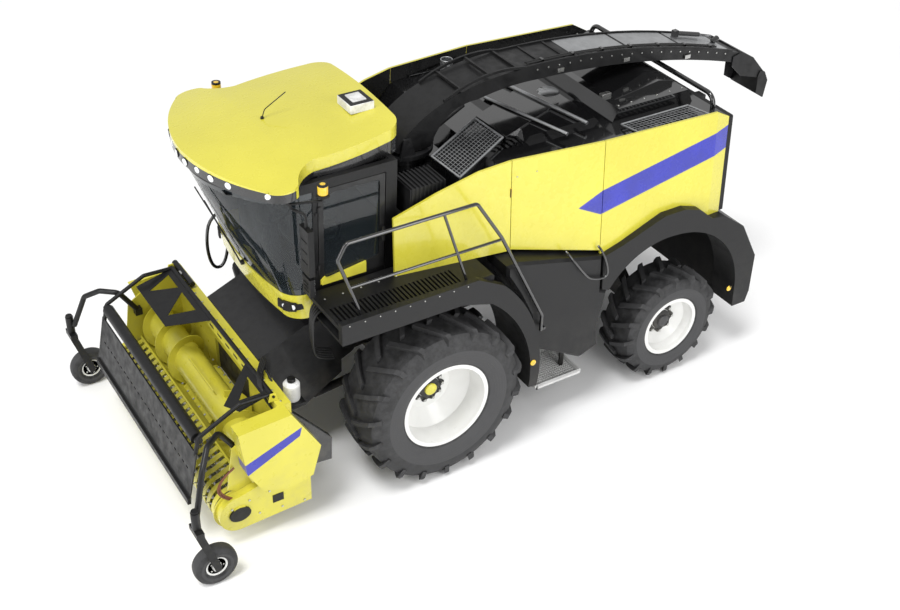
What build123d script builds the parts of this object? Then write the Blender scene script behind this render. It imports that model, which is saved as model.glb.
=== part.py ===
from build123d import *
import os
from math import cos, radians, sin

# Self-propelled forage harvester with a windrow pickup header. Millimetres, Z up.
# X points to the machine's left, Y to the rear. The origin is on the ground under the
# middle of the machine. Outlines are drawn from the front axle: planes made by
# side_plane, cross_plane and plan_plane have their zero on the ground below it.

os.makedirs("parts", exist_ok=True)

# Axles and wheels
front_axle_y = -1220
wheelbase = 3200
front_tyre_r = 960
front_tyre_w = 710
front_track_half = 1345
front_rim_r = 511
front_rim_w = 608
front_disc_x = 1265
front_lugs = 18
rear_tyre_r = 695
rear_tyre_w = 550
rear_track_half = 1220
rear_rim_r = 377
rear_rim_w = 486
rear_disc_x = 1270
rear_lugs = 16
lug_height = 46
lug_w = 56
rim_wall = 14
flange_height = 30
seat_gap = 0.3
hub_r = 118
kingpin_x = 950
kingpin_r = 22
steer_arm = 200
tie_rod_r = 20

# Frame, axles and drive
rail_x = 385
rail_w = 70
rail_h = 200
axle_beam = 240
bell_r = 215
rear_beam = 150
hitch_pin_r = 20
engine_w = 1000
engine_h = 800
engine_l = 1500

# Body
panel_t = 28
seam = 8
deck_z = 3225
well_z = 3040
deck_t = 50
platform_z = 2380
platform_x = 1580
fender_x = 1655
fairing_x = 1500
panel_top_z = 3400
rail_tube_r = 19

# Cab
cab_half = 900
cab_floor_z = 2060
cab_floor_t = 50
nose_top_z = 2350
header_z = 3500
roof_z = 3600
pillar = 60
glass_t = 8
door_rear_y = -330
door_t = 40

# Crop header and feeder
lift_pivot_y = -550
lift_pivot_z = 1300
feeder_half = 640
header_half = 1400
side_plate_t = 15
wall_y = -1680
beam = 110
beam_z = 1530
auger_y = -1960
auger_z = 860
auger_r = 250
auger_tube_r = 165
flight_t = 10
reel_y = -2310
reel_z = 430
tine_tip_r = 258
band_r = 215
band_t = 6
band_w = 62
band_pitch = 110
bands = 25
tine_w = 9
reel_bar_r = 145
reel_bars = 5
guard_pivot_y = -1790
guard_pivot_z = 1590
roller_y = -2570
roller_z = 1330
roller_r = 62
caster_x = 1793
caster_y = -2728
caster_r = 227
caster_w = 150
caster_trail = 140
swivel_pin_r = 22

# Spout
spout_y = 400
chute_r = 250
turret_r = 330
turret_z = 3130
turret_t = 45
spout_half = 260
spout_wall = 10
spout_pivot_y = 300
spout_pivot_z = 3330
flap_pivot_y = 4780
flap_pivot_z = 3262
ram_r = 45
rod_r = 25
pin_r = 20


def at(x, y, z):
    """A point given from the front axle."""
    return (x, front_axle_y + y, z)


def side_plane(x):
    """Upright plane along the machine: rearwards, then up."""
    return Plane(origin=at(x, 0, 0), x_dir=(0, 1, 0), z_dir=(1, 0, 0))


def cross_plane(y):
    """Upright plane across the machine: to the left, then up. It faces forwards."""
    return Plane(origin=at(0, y, 0), x_dir=(1, 0, 0), z_dir=(0, -1, 0))


def plan_plane(z):
    """Level plane: to the left, then rearwards."""
    return Plane(origin=at(0, 0, z), x_dir=(1, 0, 0), z_dir=(0, 0, 1))


def plate(plane, points, depth, rounding=0, mode=Mode.ADD):
    """Straight-edged outline, its corners rounded, extruded along the plane's normal."""
    with BuildSketch(plane) as outline:
        Polygon(*points, align=None)
        if rounding:
            fillet(outline.vertices(), rounding)
    extrude(to_extrude=outline.sketch, amount=depth, mode=mode)


def block(low, high, mode=Mode.ADD):
    """Box between two corners given from the front axle."""
    size = [b - a for a, b in zip(low, high)]
    with Locations(at(*low)):
        Box(*size, align=(Align.MIN, Align.MIN, Align.MIN), mode=mode)


def disc(centre, direction, radius, length, mode=Mode.ADD):
    """Round bar from a centre along a direction."""
    with BuildSketch(Plane(origin=at(*centre), z_dir=direction)) as face:
        Circle(radius)
    extrude(to_extrude=face.sketch, amount=length, mode=mode)


def ring(centre, direction, outer, inner, length):
    """Round sleeve from a centre along a direction."""
    with BuildSketch(Plane(origin=at(*centre), z_dir=direction)) as face:
        Circle(outer)
        Circle(inner, mode=Mode.SUBTRACT)
    extrude(to_extrude=face.sketch, amount=length)


def tube(points, radius, bend):
    """Round tube along straight runs joined by bends."""
    with BuildLine() as path:
        if len(points) > 2:
            FilletPolyline(*[at(*p) for p in points], radius=bend)
        else:
            Line(*[at(*p) for p in points])
    with BuildSketch(Plane(origin=path.line @ 0, z_dir=path.line % 0)) as section:
        Circle(radius)
    sweep(sections=section.sketch, path=path.line)


def axle_axis(y, z):
    return Axis(at(0, y, z), (1, 0, 0))


# Front and rear wheels. The left one is built and the right one mirrors it.
def tyre(hub, radius, width, rim_r, rim_w, lugs):
    """Tyre seated on its rim, with slanted lugs that run out over the shoulders."""
    hub_x, hub_y, hub_z = hub
    axis = axle_axis(hub_y, hub_z)
    wheel = Plane(origin=at(hub_x, hub_y, hub_z), x_dir=(1, 0, 0), z_dir=(0, -1, 0))
    bead = rim_w / 2 - rim_wall - seat_gap
    crown = radius - lug_height
    shoulder = 0.41 * width
    bulge_r = 0.5 * (rim_r + crown)
    with BuildPart() as lug_pair:
        tread = Plane(origin=at(hub_x, hub_y, hub_z + radius), x_dir=(1, 0, 0), z_dir=(0, 0, -1))
        pitch = 2 * 3.1416 * radius / lugs
        lean = 0.30 * width
        for hand, shift in ((1, 0), (-1, pitch / 2)):
            outer = hand * 0.485 * width
            knee = hand * 0.24 * width
            inner = -hand * 0.035 * width
            path = [(inner, shift + lean), (knee, shift + 0.5 * lean), (outer, shift)]
            edge = [(a, c + lug_w / 2) for a, c in path] + [(a, c - lug_w / 2) for a, c in path[::-1]]
            plate(tread, edge, 3.2 * lug_height)
        with BuildSketch(wheel):
            with BuildLine():
                Polyline((-width / 2, crown - 2.5 * lug_height), (-width / 2, radius - 1.6 * lug_height),
                         (-0.43 * width, radius - 0.35 * lug_height))
                ThreePointArc((-0.43 * width, radius - 0.35 * lug_height), (0, radius),
                              (0.43 * width, radius - 0.35 * lug_height))
                Polyline((0.43 * width, radius - 0.35 * lug_height), (width / 2, radius - 1.6 * lug_height),
                         (width / 2, crown - 2.5 * lug_height), (-width / 2, crown - 2.5 * lug_height))
            make_face()
        revolve(axis=axis, mode=Mode.INTERSECT)
    with BuildPart() as made:
        with BuildSketch(wheel):
            with BuildLine():
                Line((-bead, rim_r - flange_height + seat_gap), (bead, rim_r - flange_height + seat_gap))
                Polyline((bead, rim_r - flange_height + seat_gap), (bead, rim_r + seat_gap),
                         (rim_w / 2, rim_r + seat_gap))
                ThreePointArc((rim_w / 2, rim_r + seat_gap), (width / 2, bulge_r),
                              (shoulder, crown - 0.5 * lug_height))
                ThreePointArc((shoulder, crown - 0.5 * lug_height), (0, crown),
                              (-shoulder, crown - 0.5 * lug_height))
                ThreePointArc((-shoulder, crown - 0.5 * lug_height), (-width / 2, bulge_r),
                              (-rim_w / 2, rim_r + seat_gap))
                Polyline((-rim_w / 2, rim_r + seat_gap), (-bead, rim_r + seat_gap),
                         (-bead, rim_r - flange_height + seat_gap))
            make_face()
        revolve(axis=axis)
        add([lug_pair.part.rotate(axis, k * 360 / lugs) for k in range(lugs)])
    return made.part


def rim(hub, rim_r, rim_w, disc_x, studs):
    """Rim with flanges, a dished disc, a stud circle and a hub cap."""
    hub_x, hub_y, hub_z = hub
    wheel = Plane(origin=at(0, hub_y, hub_z), x_dir=(1, 0, 0), z_dir=(0, -1, 0))
    low, high = hub_x - rim_w / 2, hub_x + rim_w / 2
    seat = rim_r - flange_height
    root = disc_x + 0.35 * (high - disc_x)
    with BuildPart() as made:
        with BuildSketch(wheel):
            Polygon((low, rim_r), (low + rim_wall, rim_r), (low + rim_wall, seat), (high - rim_wall, seat),
                    (high - rim_wall, rim_r), (high, rim_r), (high, seat - rim_wall),
                    (high - 3 * rim_wall, seat - rim_wall), (root, seat - 3 * rim_wall),
                    (disc_x, 0.52 * rim_r), (disc_x, hub_r + rim_wall), (disc_x + 2 * rim_wall, hub_r),
                    (disc_x + 2 * rim_wall, 0.5 * hub_r), (disc_x + 4 * rim_wall, 0.5 * hub_r),
                    (disc_x + 4 * rim_wall, 0), (disc_x - rim_wall, 0), (disc_x - rim_wall, 0.54 * rim_r),
                    (root - rim_wall, seat - 4 * rim_wall), (low + 3 * rim_wall, seat - 2 * rim_wall),
                    (low, seat - rim_wall), align=None)
        revolve(axis=axle_axis(hub_y, hub_z))
        for k in range(studs):
            turn = radians(k * 360 / studs)
            reach = hub_r + 3 * rim_wall
            disc((disc_x, hub_y + reach * cos(turn), hub_z + reach * sin(turn)), (1, 0, 0), rim_wall, rim_wall)
    return made.part


front_hub = (front_track_half, 0, front_tyre_r)
rear_hub = (rear_track_half, wheelbase, rear_tyre_r)
front_tyre = tyre(front_hub, front_tyre_r, front_tyre_w, front_rim_r, front_rim_w, front_lugs)
front_rim = rim(front_hub, front_rim_r, front_rim_w, front_disc_x, 10)
rear_tyre = tyre(rear_hub, rear_tyre_r, rear_tyre_w, rear_rim_r, rear_rim_w, rear_lugs)
rear_rim = rim(rear_hub, rear_rim_r, rear_rim_w, rear_disc_x, 8)
for name, piece in (("front_tyre", front_tyre), ("front_rim", front_rim),
                    ("rear_tyre", rear_tyre), ("rear_rim", rear_rim)):
    for side in ("left", "right"):
        with BuildPart() as wheel_piece:
            add(piece if side == "left" else piece.mirror(Plane.YZ))
        wheel_piece.part.label = f"{name}_{side}"
        export_step(wheel_piece.part, f"parts/{name}_{side}.step")

# Frame: two rails on the front axle, cross members, and a clevis for the tow pin.
rail_low = front_tyre_r + axle_beam / 2
rail_top = rail_low + rail_h
rail_front = -320
cab_rear_y = -200
post_x = 860
post_y = -180
fairing_in = 1120
rail_rear = 4120
hitch_z = rail_low + rail_h / 2
hitch_y = rail_rear + 330
with BuildPart() as chassis_frame:
    block((rail_x - rail_w, rail_front, rail_low), (rail_x, rail_rear, rail_top))
    for y in (rail_front, post_y):
        block((rail_x, y, rail_low), (post_x + rail_w, y + rail_w, rail_top))
    block((rail_x, 1450, rail_low), (fairing_in, 1450 + rail_w, rail_top))
    block((post_x, rail_front, rail_low), (post_x + rail_w, post_y + rail_w, cab_floor_z))
    block((post_x, post_y, cab_floor_z), (post_x + rail_w, post_y + rail_w, platform_z - deck_t))
    mirror(about=Plane.YZ)
    for y in (rail_front, 1450, wheelbase - 300, wheelbase + 150, rail_rear - rail_w):
        block((rail_w - rail_x, y, rail_low), (rail_x - rail_w, y + rail_w, rail_top))
    block((-rail_w, wheelbase - 300 + rail_w, rail_low), (rail_w, wheelbase + 150, rail_top - rail_w))
    for low in (-2 * rail_w, rail_w):
        block((low, rail_rear, hitch_z - rail_w), (low + rail_w, hitch_y + rail_w, hitch_z + rail_w))
    with Locations(Location(at(0, hitch_y, hitch_z), (0, 90, 0))):
        Cylinder(hitch_pin_r, 5 * rail_w, mode=Mode.SUBTRACT)
chassis_frame.part.label = "chassis_frame"
export_step(chassis_frame.part, "parts/chassis_frame.step")

# Lift ram pivots: on the front axle for the barrels, under the feeder for the rods.
ram_x = 470
ram_y = -350
ram_z = 760
ram_eye_y = -1290
ram_eye_z = 650
ear_t = 12
ear_gap = 24

# Front axle: beam, gearboxes, brackets for the lift rams and a reduction bell behind each wheel disc.
bell_end = front_disc_x - rim_wall - seat_gap
bell_start = front_track_half - front_rim_w / 2 + 60
with BuildPart() as front_axle:
    block((-bell_start, -axle_beam / 2, rail_low - axle_beam), (bell_start, axle_beam / 2, rail_low))
    for hand in (1, -1):
        disc((hand * bell_start, 0, front_tyre_r), (hand, 0, 0), bell_r, 0.55 * (bell_end - bell_start))
        disc((hand * bell_start, 0, front_tyre_r), (hand, 0, 0), 0.75 * bell_r, bell_end - bell_start)
        plate(side_plane(hand * 0.5 * bell_start - 130),
              [(-260, front_tyre_r - 260), (axle_beam, front_tyre_r - 220), (axle_beam, rail_low - 60),
               (-200, rail_low - 40)], 260, 30)
        for low in (ear_gap, -ear_gap - ear_t):
            plate(side_plane(hand * ram_x + low), [(-200, ram_z - 20), (-200, ram_z + 130), (ram_y - 35, ram_z + 35),
                                                   (ram_y - 35, ram_z - 35)], ear_t)
        disc((hand * ram_x - ear_gap - ear_t, ram_y, ram_z), (1, 0, 0), pin_r, 2 * (ear_gap + ear_t))
front_axle.part.label = "front_axle"
export_step(front_axle.part, "parts/front_axle.step")

# Rear axle beam with forked ends for the kingpins.
rear_axle_z = rear_tyre_r
with BuildPart() as rear_axle:
    plate(cross_plane(wheelbase + rear_beam / 2),
          [(-kingpin_x, rear_axle_z + 95), (-kingpin_x, rear_axle_z - 95), (-0.7 * kingpin_x, rear_axle_z - 75),
           (0.7 * kingpin_x, rear_axle_z - 75), (kingpin_x, rear_axle_z - 95), (kingpin_x, rear_axle_z + 95),
           (0.7 * kingpin_x, rear_axle_z + 75), (rail_x, rail_low - 60), (rail_w, rail_low),
           (-rail_w, rail_low), (-rail_x, rail_low - 60), (-0.7 * kingpin_x, rear_axle_z + 75)], rear_beam)
    for hand in (1, -1):
        disc((hand * kingpin_x, wheelbase, rear_axle_z - 95), (0, 0, 1), rear_beam / 2, 190)
        with Locations(at(hand * kingpin_x, wheelbase, rear_axle_z)):
            Cylinder(rear_beam / 2 + 95, 110, mode=Mode.SUBTRACT)
        disc((hand * kingpin_x, wheelbase, rear_axle_z - 60), (0, 0, 1), kingpin_r, 120)
rear_axle.part.label = "rear_axle"
export_step(rear_axle.part, "parts/rear_axle.step")

# Steering knuckles turn between the forked ends and carry the wheel discs.
arm_z = rear_axle_z
spindle_end = rear_disc_x - rim_wall - seat_gap
for side, hand in (("left", 1), ("right", -1)):
    with BuildPart() as knuckle:
        disc((hand * kingpin_x, wheelbase, rear_axle_z - 45), (0, 0, 1), rear_beam / 2, 90)
        disc((hand * kingpin_x, wheelbase, rear_axle_z), (hand, 0, 0), 44, spindle_end - kingpin_x)
        disc((hand * (spindle_end - 90), wheelbase, rear_axle_z), (hand, 0, 0), 0.75 * bell_r, 90)
        block((hand * kingpin_x - 35, wheelbase, arm_z - 30), (hand * kingpin_x + 35, wheelbase + steer_arm, arm_z + 30))
        disc((hand * kingpin_x, wheelbase + steer_arm, arm_z - 30), (0, 0, 1), 35, 60)
        disc((hand * kingpin_x, wheelbase, rear_axle_z - 60), (0, 0, 1), kingpin_r + seat_gap, 120, mode=Mode.SUBTRACT)
    knuckle.part.label = f"knuckle_{side}"
    export_step(knuckle.part, f"parts/knuckle_{side}.step")

# The tie rod lies under the knuckle arms and joins their ends.
tie_eye_h = 2 * tie_rod_r + 6
tie_z = arm_z - 30 - seat_gap - tie_eye_h
with BuildPart() as tie_rod:
    for hand in (1, -1):
        disc((hand * kingpin_x, wheelbase + steer_arm, tie_z), (0, 0, 1), 35, tie_eye_h)
    disc((-kingpin_x, wheelbase + steer_arm, tie_z + tie_eye_h / 2), (1, 0, 0), tie_rod_r, 2 * kingpin_x)
tie_rod.part.label = "tie_rod"
export_step(tie_rod.part, "parts/tie_rod.step")

# Engine: one plain block across the rear, standing on the rails.
engine_y = 1750
with BuildPart() as engine:
    block((-engine_w / 2, engine_y, rail_top), (engine_w / 2, engine_y + engine_l, rail_top + engine_h))
    chamfer(engine.edges().filter_by(Axis.Y).group_by(Axis.Z)[-1], 90)
engine.part.label = "engine"
export_step(engine.part, "parts/engine.step")

# Chopping drum housing, blower behind it and the chute up to the turret.
lift_pin_r = 30
with BuildPart() as crop_unit:
    plate(side_plane(-520),
          [(rail_front, rail_top), (1500, rail_top), (1500, rail_top + 240), (1150, rail_top + 560),
           (spout_y + 330, rail_top + 620), (spout_y + 330, 2300), (spout_y - 330, 2300),
           (spout_y - 420, rail_top + 620), (rail_front, rail_top + 560)], 1040, 20)
    disc((0, spout_y, 2290), (0, 0, 1), chute_r, turret_z - 2290)
    for hand in (1, -1):
        plate(side_plane(hand * 545 - 25),
              [(lift_pivot_y - 90, lift_pivot_z - 90), (rail_front, rail_top - 60), (rail_front, rail_top),
               (rail_front + 140, rail_top), (rail_front + 140, rail_top + 200),
               (lift_pivot_y - 90, lift_pivot_z + 90)], 50)
        disc((hand * 570, lift_pivot_y, lift_pivot_z), (-hand, 0, 0), lift_pin_r + seat_gap, 50, mode=Mode.SUBTRACT)
crop_unit.part.label = "crop_unit"
export_step(crop_unit.part, "parts/crop_unit.step")

# Body side skin: it flares to the rear and leans in towards the top.
skin_low_z = 2050
skin_high_z = 3450
stations = [(-1100, cab_half + 110, cab_half + 50), (950, 1300, 1220), (2030, 1430, 1330), (3560, 1420, 1325), (3760, 1375, 1285)]


def skin_x(y, z):
    """Outer face of the left side skin."""
    for (y0, low0, high0), (y1, low1, high1) in zip(stations, stations[1:]):
        if y0 <= y <= y1:
            share = (y - y0) / (y1 - y0)
            low, high = low0 + share * (low1 - low0), high0 + share * (high1 - high0)
            return low + (high - low) * (z - skin_low_z) / (skin_high_z - skin_low_z)
    return stations[-1][2]


def side_skin(outline, hand=1):
    """One side panel: the lofted skin cut to an outline seen from the side."""
    with BuildPart() as skin:
        for y, low, high in stations:
            with BuildSketch(cross_plane(y)):
                Polygon((low, skin_low_z), (high, skin_high_z), (high - panel_t, skin_high_z),
                        (low - panel_t, skin_low_z), align=None)
        loft(ruled=True)
        plate(side_plane(900), outline, 700, mode=Mode.INTERSECT)
    return skin.part if hand > 0 else skin.part.mirror(Plane.YZ)


door_y0, door_y1 = 950 + seam / 2, 2030 - seam / 2
panel_front_y = door_rear_y + 2 * seam
front_outline = [(panel_front_y, platform_z), (panel_front_y, 3030), (150, 3210), (600, 3350),
                 (door_y0 - seam, panel_top_z), (door_y0 - seam, platform_z)]
door_outline = [(door_y0, platform_z + 12), (door_y0, panel_top_z), (door_y1, panel_top_z - 12),
                (door_y1, 2118)]
arch_line = [(2300, 2140), (2580, 2240), (2850, 2335), (3130, 2335), (3360, 2260), (3560, 2090)]
rear_outline = [(door_y1 + seam, panel_top_z - 12), (3560, 3335), (3760, 3225), (3760, 2060)]
rear_outline += arch_line[::-1] + [(door_y1 + seam, 2070)]

with BuildPart() as front_side_panels:
    add([side_skin(front_outline), side_skin(front_outline, -1)])
front_side_panels.part.label = "front_side_panels"
export_step(front_side_panels.part, "parts/front_side_panels.step")

with BuildPart() as rear_side_panels:
    add([side_skin(rear_outline), side_skin(rear_outline, -1)])
rear_side_panels.part.label = "rear_side_panels"
export_step(rear_side_panels.part, "parts/rear_side_panels.step")

for side, hand in (("left", 1), ("right", -1)):
    with BuildPart() as side_door:
        add(side_skin(door_outline, hand))
    side_door.part.label = f"side_door_{side}"
    export_step(side_door.part, f"parts/side_door_{side}.step")

# Deck: a well round the turret, then the engine cover with vents and a raised housing.
deck_rear = 3760
deck_line = [(-200, 2860), (40, well_z), (800, well_z), (960, deck_z), (deck_rear, deck_z)]
hood_top = 3385
with BuildPart() as engine_deck:
    plate(side_plane(-1400), deck_line + [(y, z - deck_t) for y, z in deck_line[::-1]], 2800)
    edge = [(skin_x(y, deck_z) - panel_t, y) for y in (-200, 950, 2030, 3560, deck_rear)]
    plate(plan_plane(2700), edge + [(-x, y) for x, y in edge[::-1]], 800, mode=Mode.INTERSECT)
    disc((0, spout_y, well_z - 2 * deck_t), (0, 0, 1), chute_r + seat_gap, 4 * deck_t, mode=Mode.SUBTRACT)
    for x, y, slots in ((580, 90, 8), (580, 1000, 7), (1050, 2600, 12)):
        with Locations(*[at(hand * x, y + k * 70, deck_z) for k in range(slots) for hand in (1, -1)]):
            Box(300, 35, 500, align=(Align.CENTER, Align.MIN, Align.CENTER), mode=Mode.SUBTRACT)
    plate(side_plane(-820), [(2520, deck_z), (2600, hood_top), (3560, hood_top), (3640, deck_z)], 1640)
    plate(side_plane(-700), [(1480, deck_z), (1540, deck_z + 60), (2380, deck_z + 60), (2440, deck_z)], 1400)
engine_deck.part.label = "engine_deck"
export_step(engine_deck.part, "parts/engine_deck.step")

# Rear grille: a frame between the side panels with a louvred box behind it.
grille_t = 60
louvre_t = 100
with BuildPart() as rear_grille:
    low_x, high_x = skin_x(deck_rear, 2060), skin_x(deck_rear, deck_z)
    plate(cross_plane(deck_rear + grille_t),
          [(-low_x, 2060), (low_x, 2060), (high_x, deck_z), (-high_x, deck_z)], grille_t, 20)
    plate(cross_plane(deck_rear + grille_t + louvre_t),
          [(-low_x + 220, 2130), (low_x - 220, 2130), (high_x - 200, 3150), (200 - high_x, 3150)], louvre_t, 20)
    with Locations(*[at(0, deck_rear + grille_t + louvre_t, 2220 + k * 120) for k in range(8)]):
        Box(2 * low_x - 640, 2 * grille_t, 50, mode=Mode.SUBTRACT)
rear_grille.part.label = "rear_grille"
export_step(rear_grille.part, "parts/rear_grille.step")

# Front fenders: an outer skirt and a liner over the tyre.
liner_in = 1000
liner_t = 30


def polar(radius, angle):
    """Point round the front axle, the angle measured up from the rear."""
    return (radius * cos(radians(angle)), front_tyre_r + radius * sin(radians(angle)))


def front_arch(plane, depth, top_out, skirt):
    """Band over the front tyre between the inner arch and an outer line."""
    inner = [polar(1050, -9), polar(1090, 30), polar(1240, 66)]
    grow = 110 if skirt else liner_t
    outer = [polar(1050 + grow, -9), polar(1090 + 1.4 * grow, 30), polar(1240 + 2 * grow * (1 if skirt else 0.5), 64)]
    front = -1200
    with BuildSketch(plane) as band:
        with BuildLine():
            ThreePointArc(*inner)
            Polyline(inner[2], (150, 2200), (front, 2200), (front, top_out), (330 if skirt else 140, top_out),
                     outer[2])
            ThreePointArc(*outer[::-1])
            Line(outer[0], inner[0])
        make_face()
    extrude(to_extrude=band.sketch, amount=depth)


with BuildPart() as front_fenders:
    front_arch(side_plane(platform_x), fender_x - platform_x, platform_z + 60, True)
    front_arch(side_plane(liner_in), platform_x - liner_in, 2200 + liner_t, False)
    mirror(about=Plane.YZ)
front_fenders.part.label = "front_fenders"
export_step(front_fenders.part, "parts/front_fenders.step")

# Rear fenders: they fill the side between the panels' arch and the wheel.
tail = [(4330, 680), (4370, 830), (4360, 1340), (4080, 1830), (3760, 2060)]
with BuildPart() as rear_fenders:
    with BuildSketch(side_plane(fairing_in)) as ring_face:
        with BuildLine():
            Polyline((2160, 1600), (2060, 1640), (door_y1 + seam, 2070), *arch_line, *tail[::-1],
                     (4130, 680), (4110, 940))
            ThreePointArc((4110, 940), (3800, 1690), (3050, 2030))
            ThreePointArc((3050, 2030), (2500, 1920), (2160, 1600))
        make_face()
    extrude(amount=fairing_x - fairing_in)
    mirror(about=Plane.YZ)
rear_fenders.part.label = "rear_fenders"
export_step(rear_fenders.part, "parts/rear_fenders.step")

# Rear bumper between the fenders, with a slot for the tow clevis.
bumper_half = fairing_in
with BuildPart() as rear_bumper:
    plate(side_plane(-bumper_half), tail + [(3760, 1760), (3950, 1650), (rail_rear, 1400), (rail_rear, 680)],
          2 * bumper_half)
    block((-3 * rail_w, rail_rear, hitch_z - 2 * rail_w), (3 * rail_w, rail_rear + 300, hitch_z + 2 * rail_w),
          mode=Mode.SUBTRACT)
rear_bumper.part.label = "rear_bumper"
export_step(rear_bumper.part, "parts/rear_bumper.step")

# Side fairings between the wheels.
with BuildPart() as side_fairings:
    plate(side_plane(fairing_in),
          [(780, platform_z - 30), (950, platform_z - 30), (2026, 2076), (2050, 1632), (2146, 1590),
           (2050, 1090), (2080, 870), (1850, 780), (1280, 1110), (1190, 1150), (1190, 1300), (1110, 1620),
           (960, 1930), (780, 2230)], fairing_x - fairing_in)
    chamfer(side_fairings.faces().sort_by(Axis.X)[-1].edges(), 30)
    mirror(about=Plane.YZ)
side_fairings.part.label = "side_fairings"
export_step(side_fairings.part, "parts/side_fairings.step")

# Walkways with slots, and the bottom step hung from the fairings.
walk_front, walk_rear = -1190, 560
walk_in = cab_half + 40
slot_pitch = 46
step_z = 450
with BuildPart() as platform:
    block((walk_in, walk_front, platform_z - deck_t), (platform_x, walk_rear, platform_z))
    with Locations(*[at(1400, walk_front + 60 + k * slot_pitch, platform_z) for k in range(30)]):
        Box(250, 22, 3 * deck_t, mode=Mode.SUBTRACT)
    block((post_x, cab_rear_y, platform_z - deck_t), (walk_in, walk_rear, platform_z))
    mirror(about=Plane.YZ)
    block((850, 1350, step_z), (1400, 1950, step_z + 30))
    for y in (1400, 1800):
        low = 1110 - (y - 1280) * 330 / 570
        plate(side_plane(1180), [(y, step_z + 30), (y + 50, step_z + 30), (y + 50, low - 50 * 330 / 570), (y, low)], 30)
platform.part.label = "platform"
export_step(platform.part, "parts/platform.step")

# Handrail of the left walkway.
rail_line = platform_x - rail_tube_r - 2
with BuildPart() as handrails:
    for y in (-930, 250):
        disc((rail_line, y, platform_z), (0, 0, 1), rail_tube_r + 1, 12)
    tube([(rail_line, -930, platform_z + 8), (rail_line, -1180, 3110), (rail_line, -1090, 3270),
          (rail_line, 330, 3270), (rail_line, 640, 2790), (rail_line, 1215, 1640), (rail_line, 1215, 1440)],
         rail_tube_r, 60)
    tube([(rail_line, -1060, 2770), (rail_line, 640, 2770)], 0.8 * rail_tube_r, 0)
    tube([(rail_line, -40, 3260), (rail_line, 250, platform_z + 8)], 0.8 * rail_tube_r, 0)
    disc((fairing_x, 1215 + 40, 1460), (1, 0, 0), 15, rail_line - fairing_x + 15)
    block((rail_line - 12, 1215, 1445), (rail_line + 12, 1215 + 40, 1475))
handrails.part.label = "handrails"
export_step(handrails.part, "parts/handrails.step")

# Cradle hoop that the spout lies over in transport.
cradle_z = 3400
with BuildPart() as spout_cradle:
    tube([(1100, 3690, deck_z), (1100, 3690, cradle_z), (-1100, 3690, cradle_z), (-1100, 3690, deck_z)], 28, 120)
spout_cradle.part.label = "spout_cradle"
export_step(spout_cradle.part, "parts/spout_cradle.step")

# Cab: floor, rear wall, leaning pillars and roof ring, open for the glass and the door.
wall_t = 60
lean = 50 / 1390


def cab_x(z):
    """Outer face of the cab side, which leans outwards."""
    return cab_half + lean * (z - cab_floor_z - cab_floor_t)


def curve_points(centre, join, corner, end, distance):
    """Half of the curved cab front seen from above, drawn in by a distance."""
    points = []
    for x, y in (end, corner, join, (0, centre)):
        length = (x * x + (y - end[1]) ** 2) ** 0.5
        points.append((x - distance * x / length, y - distance * (y - end[1]) / length))
    return points


def front_band(curve, wall, inset=0):
    """Closed band along the curved cab front."""
    outer = curve_points(*curve, inset)
    inner = curve_points(*curve, inset + wall)
    outer_right = [(-x, y) for x, y in outer]
    inner_right = [(-x, y) for x, y in inner]
    with BuildLine() as line:
        ThreePointArc(outer[0], outer[1], outer[2])
        ThreePointArc(outer[2], outer[3], outer_right[2])
        ThreePointArc(outer_right[2], outer_right[1], outer_right[0])
        Line(outer_right[0], inner_right[0])
        ThreePointArc(inner_right[0], inner_right[1], inner_right[2])
        ThreePointArc(inner_right[2], inner[3], inner[2])
        ThreePointArc(inner[2], inner[1], inner[0])
        Line(inner[0], outer[0])
    return make_face(line.edges(), mode=Mode.PRIVATE)


def front_area(curve, rear_y, inset=0):
    """Closed area from the curved cab front back to a straight rear edge."""
    outer = curve_points(*curve, inset)
    right = [(-x, y) for x, y in outer]
    with BuildLine() as line:
        ThreePointArc(outer[0], outer[1], outer[2])
        ThreePointArc(outer[2], outer[3], right[2])
        ThreePointArc(right[2], right[1], right[0])
        Polyline(right[0], (right[0][0], rear_y), (outer[0][0], rear_y), outer[0])
    return make_face(line.edges(), mode=Mode.PRIVATE)


front_end_y = -1110
low_curve = (-1420, (690, -1370), (860, -1290), (cab_half, front_end_y))
sill_curve = (-1480, (700, -1410), (870, -1320), (cab_half + 8, front_end_y))
top_curve = (-1930, (640, -1690), (890, -1430), (cab_x(header_z), front_end_y))
nose_t = 25
ring_t = 60
post_rear = front_end_y + 50
sill_z = platform_z + 22

hinge_rows = (2560, 3220)
hinge_out = 12
hinge_y = post_rear + 4
hinge_r = 10
hinge_h = 50


def door_hinge(z):
    """Point on the cab door's hinge line, just outside the leaning post."""
    return (cab_x(z) + hinge_out, hinge_y, z)


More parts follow.
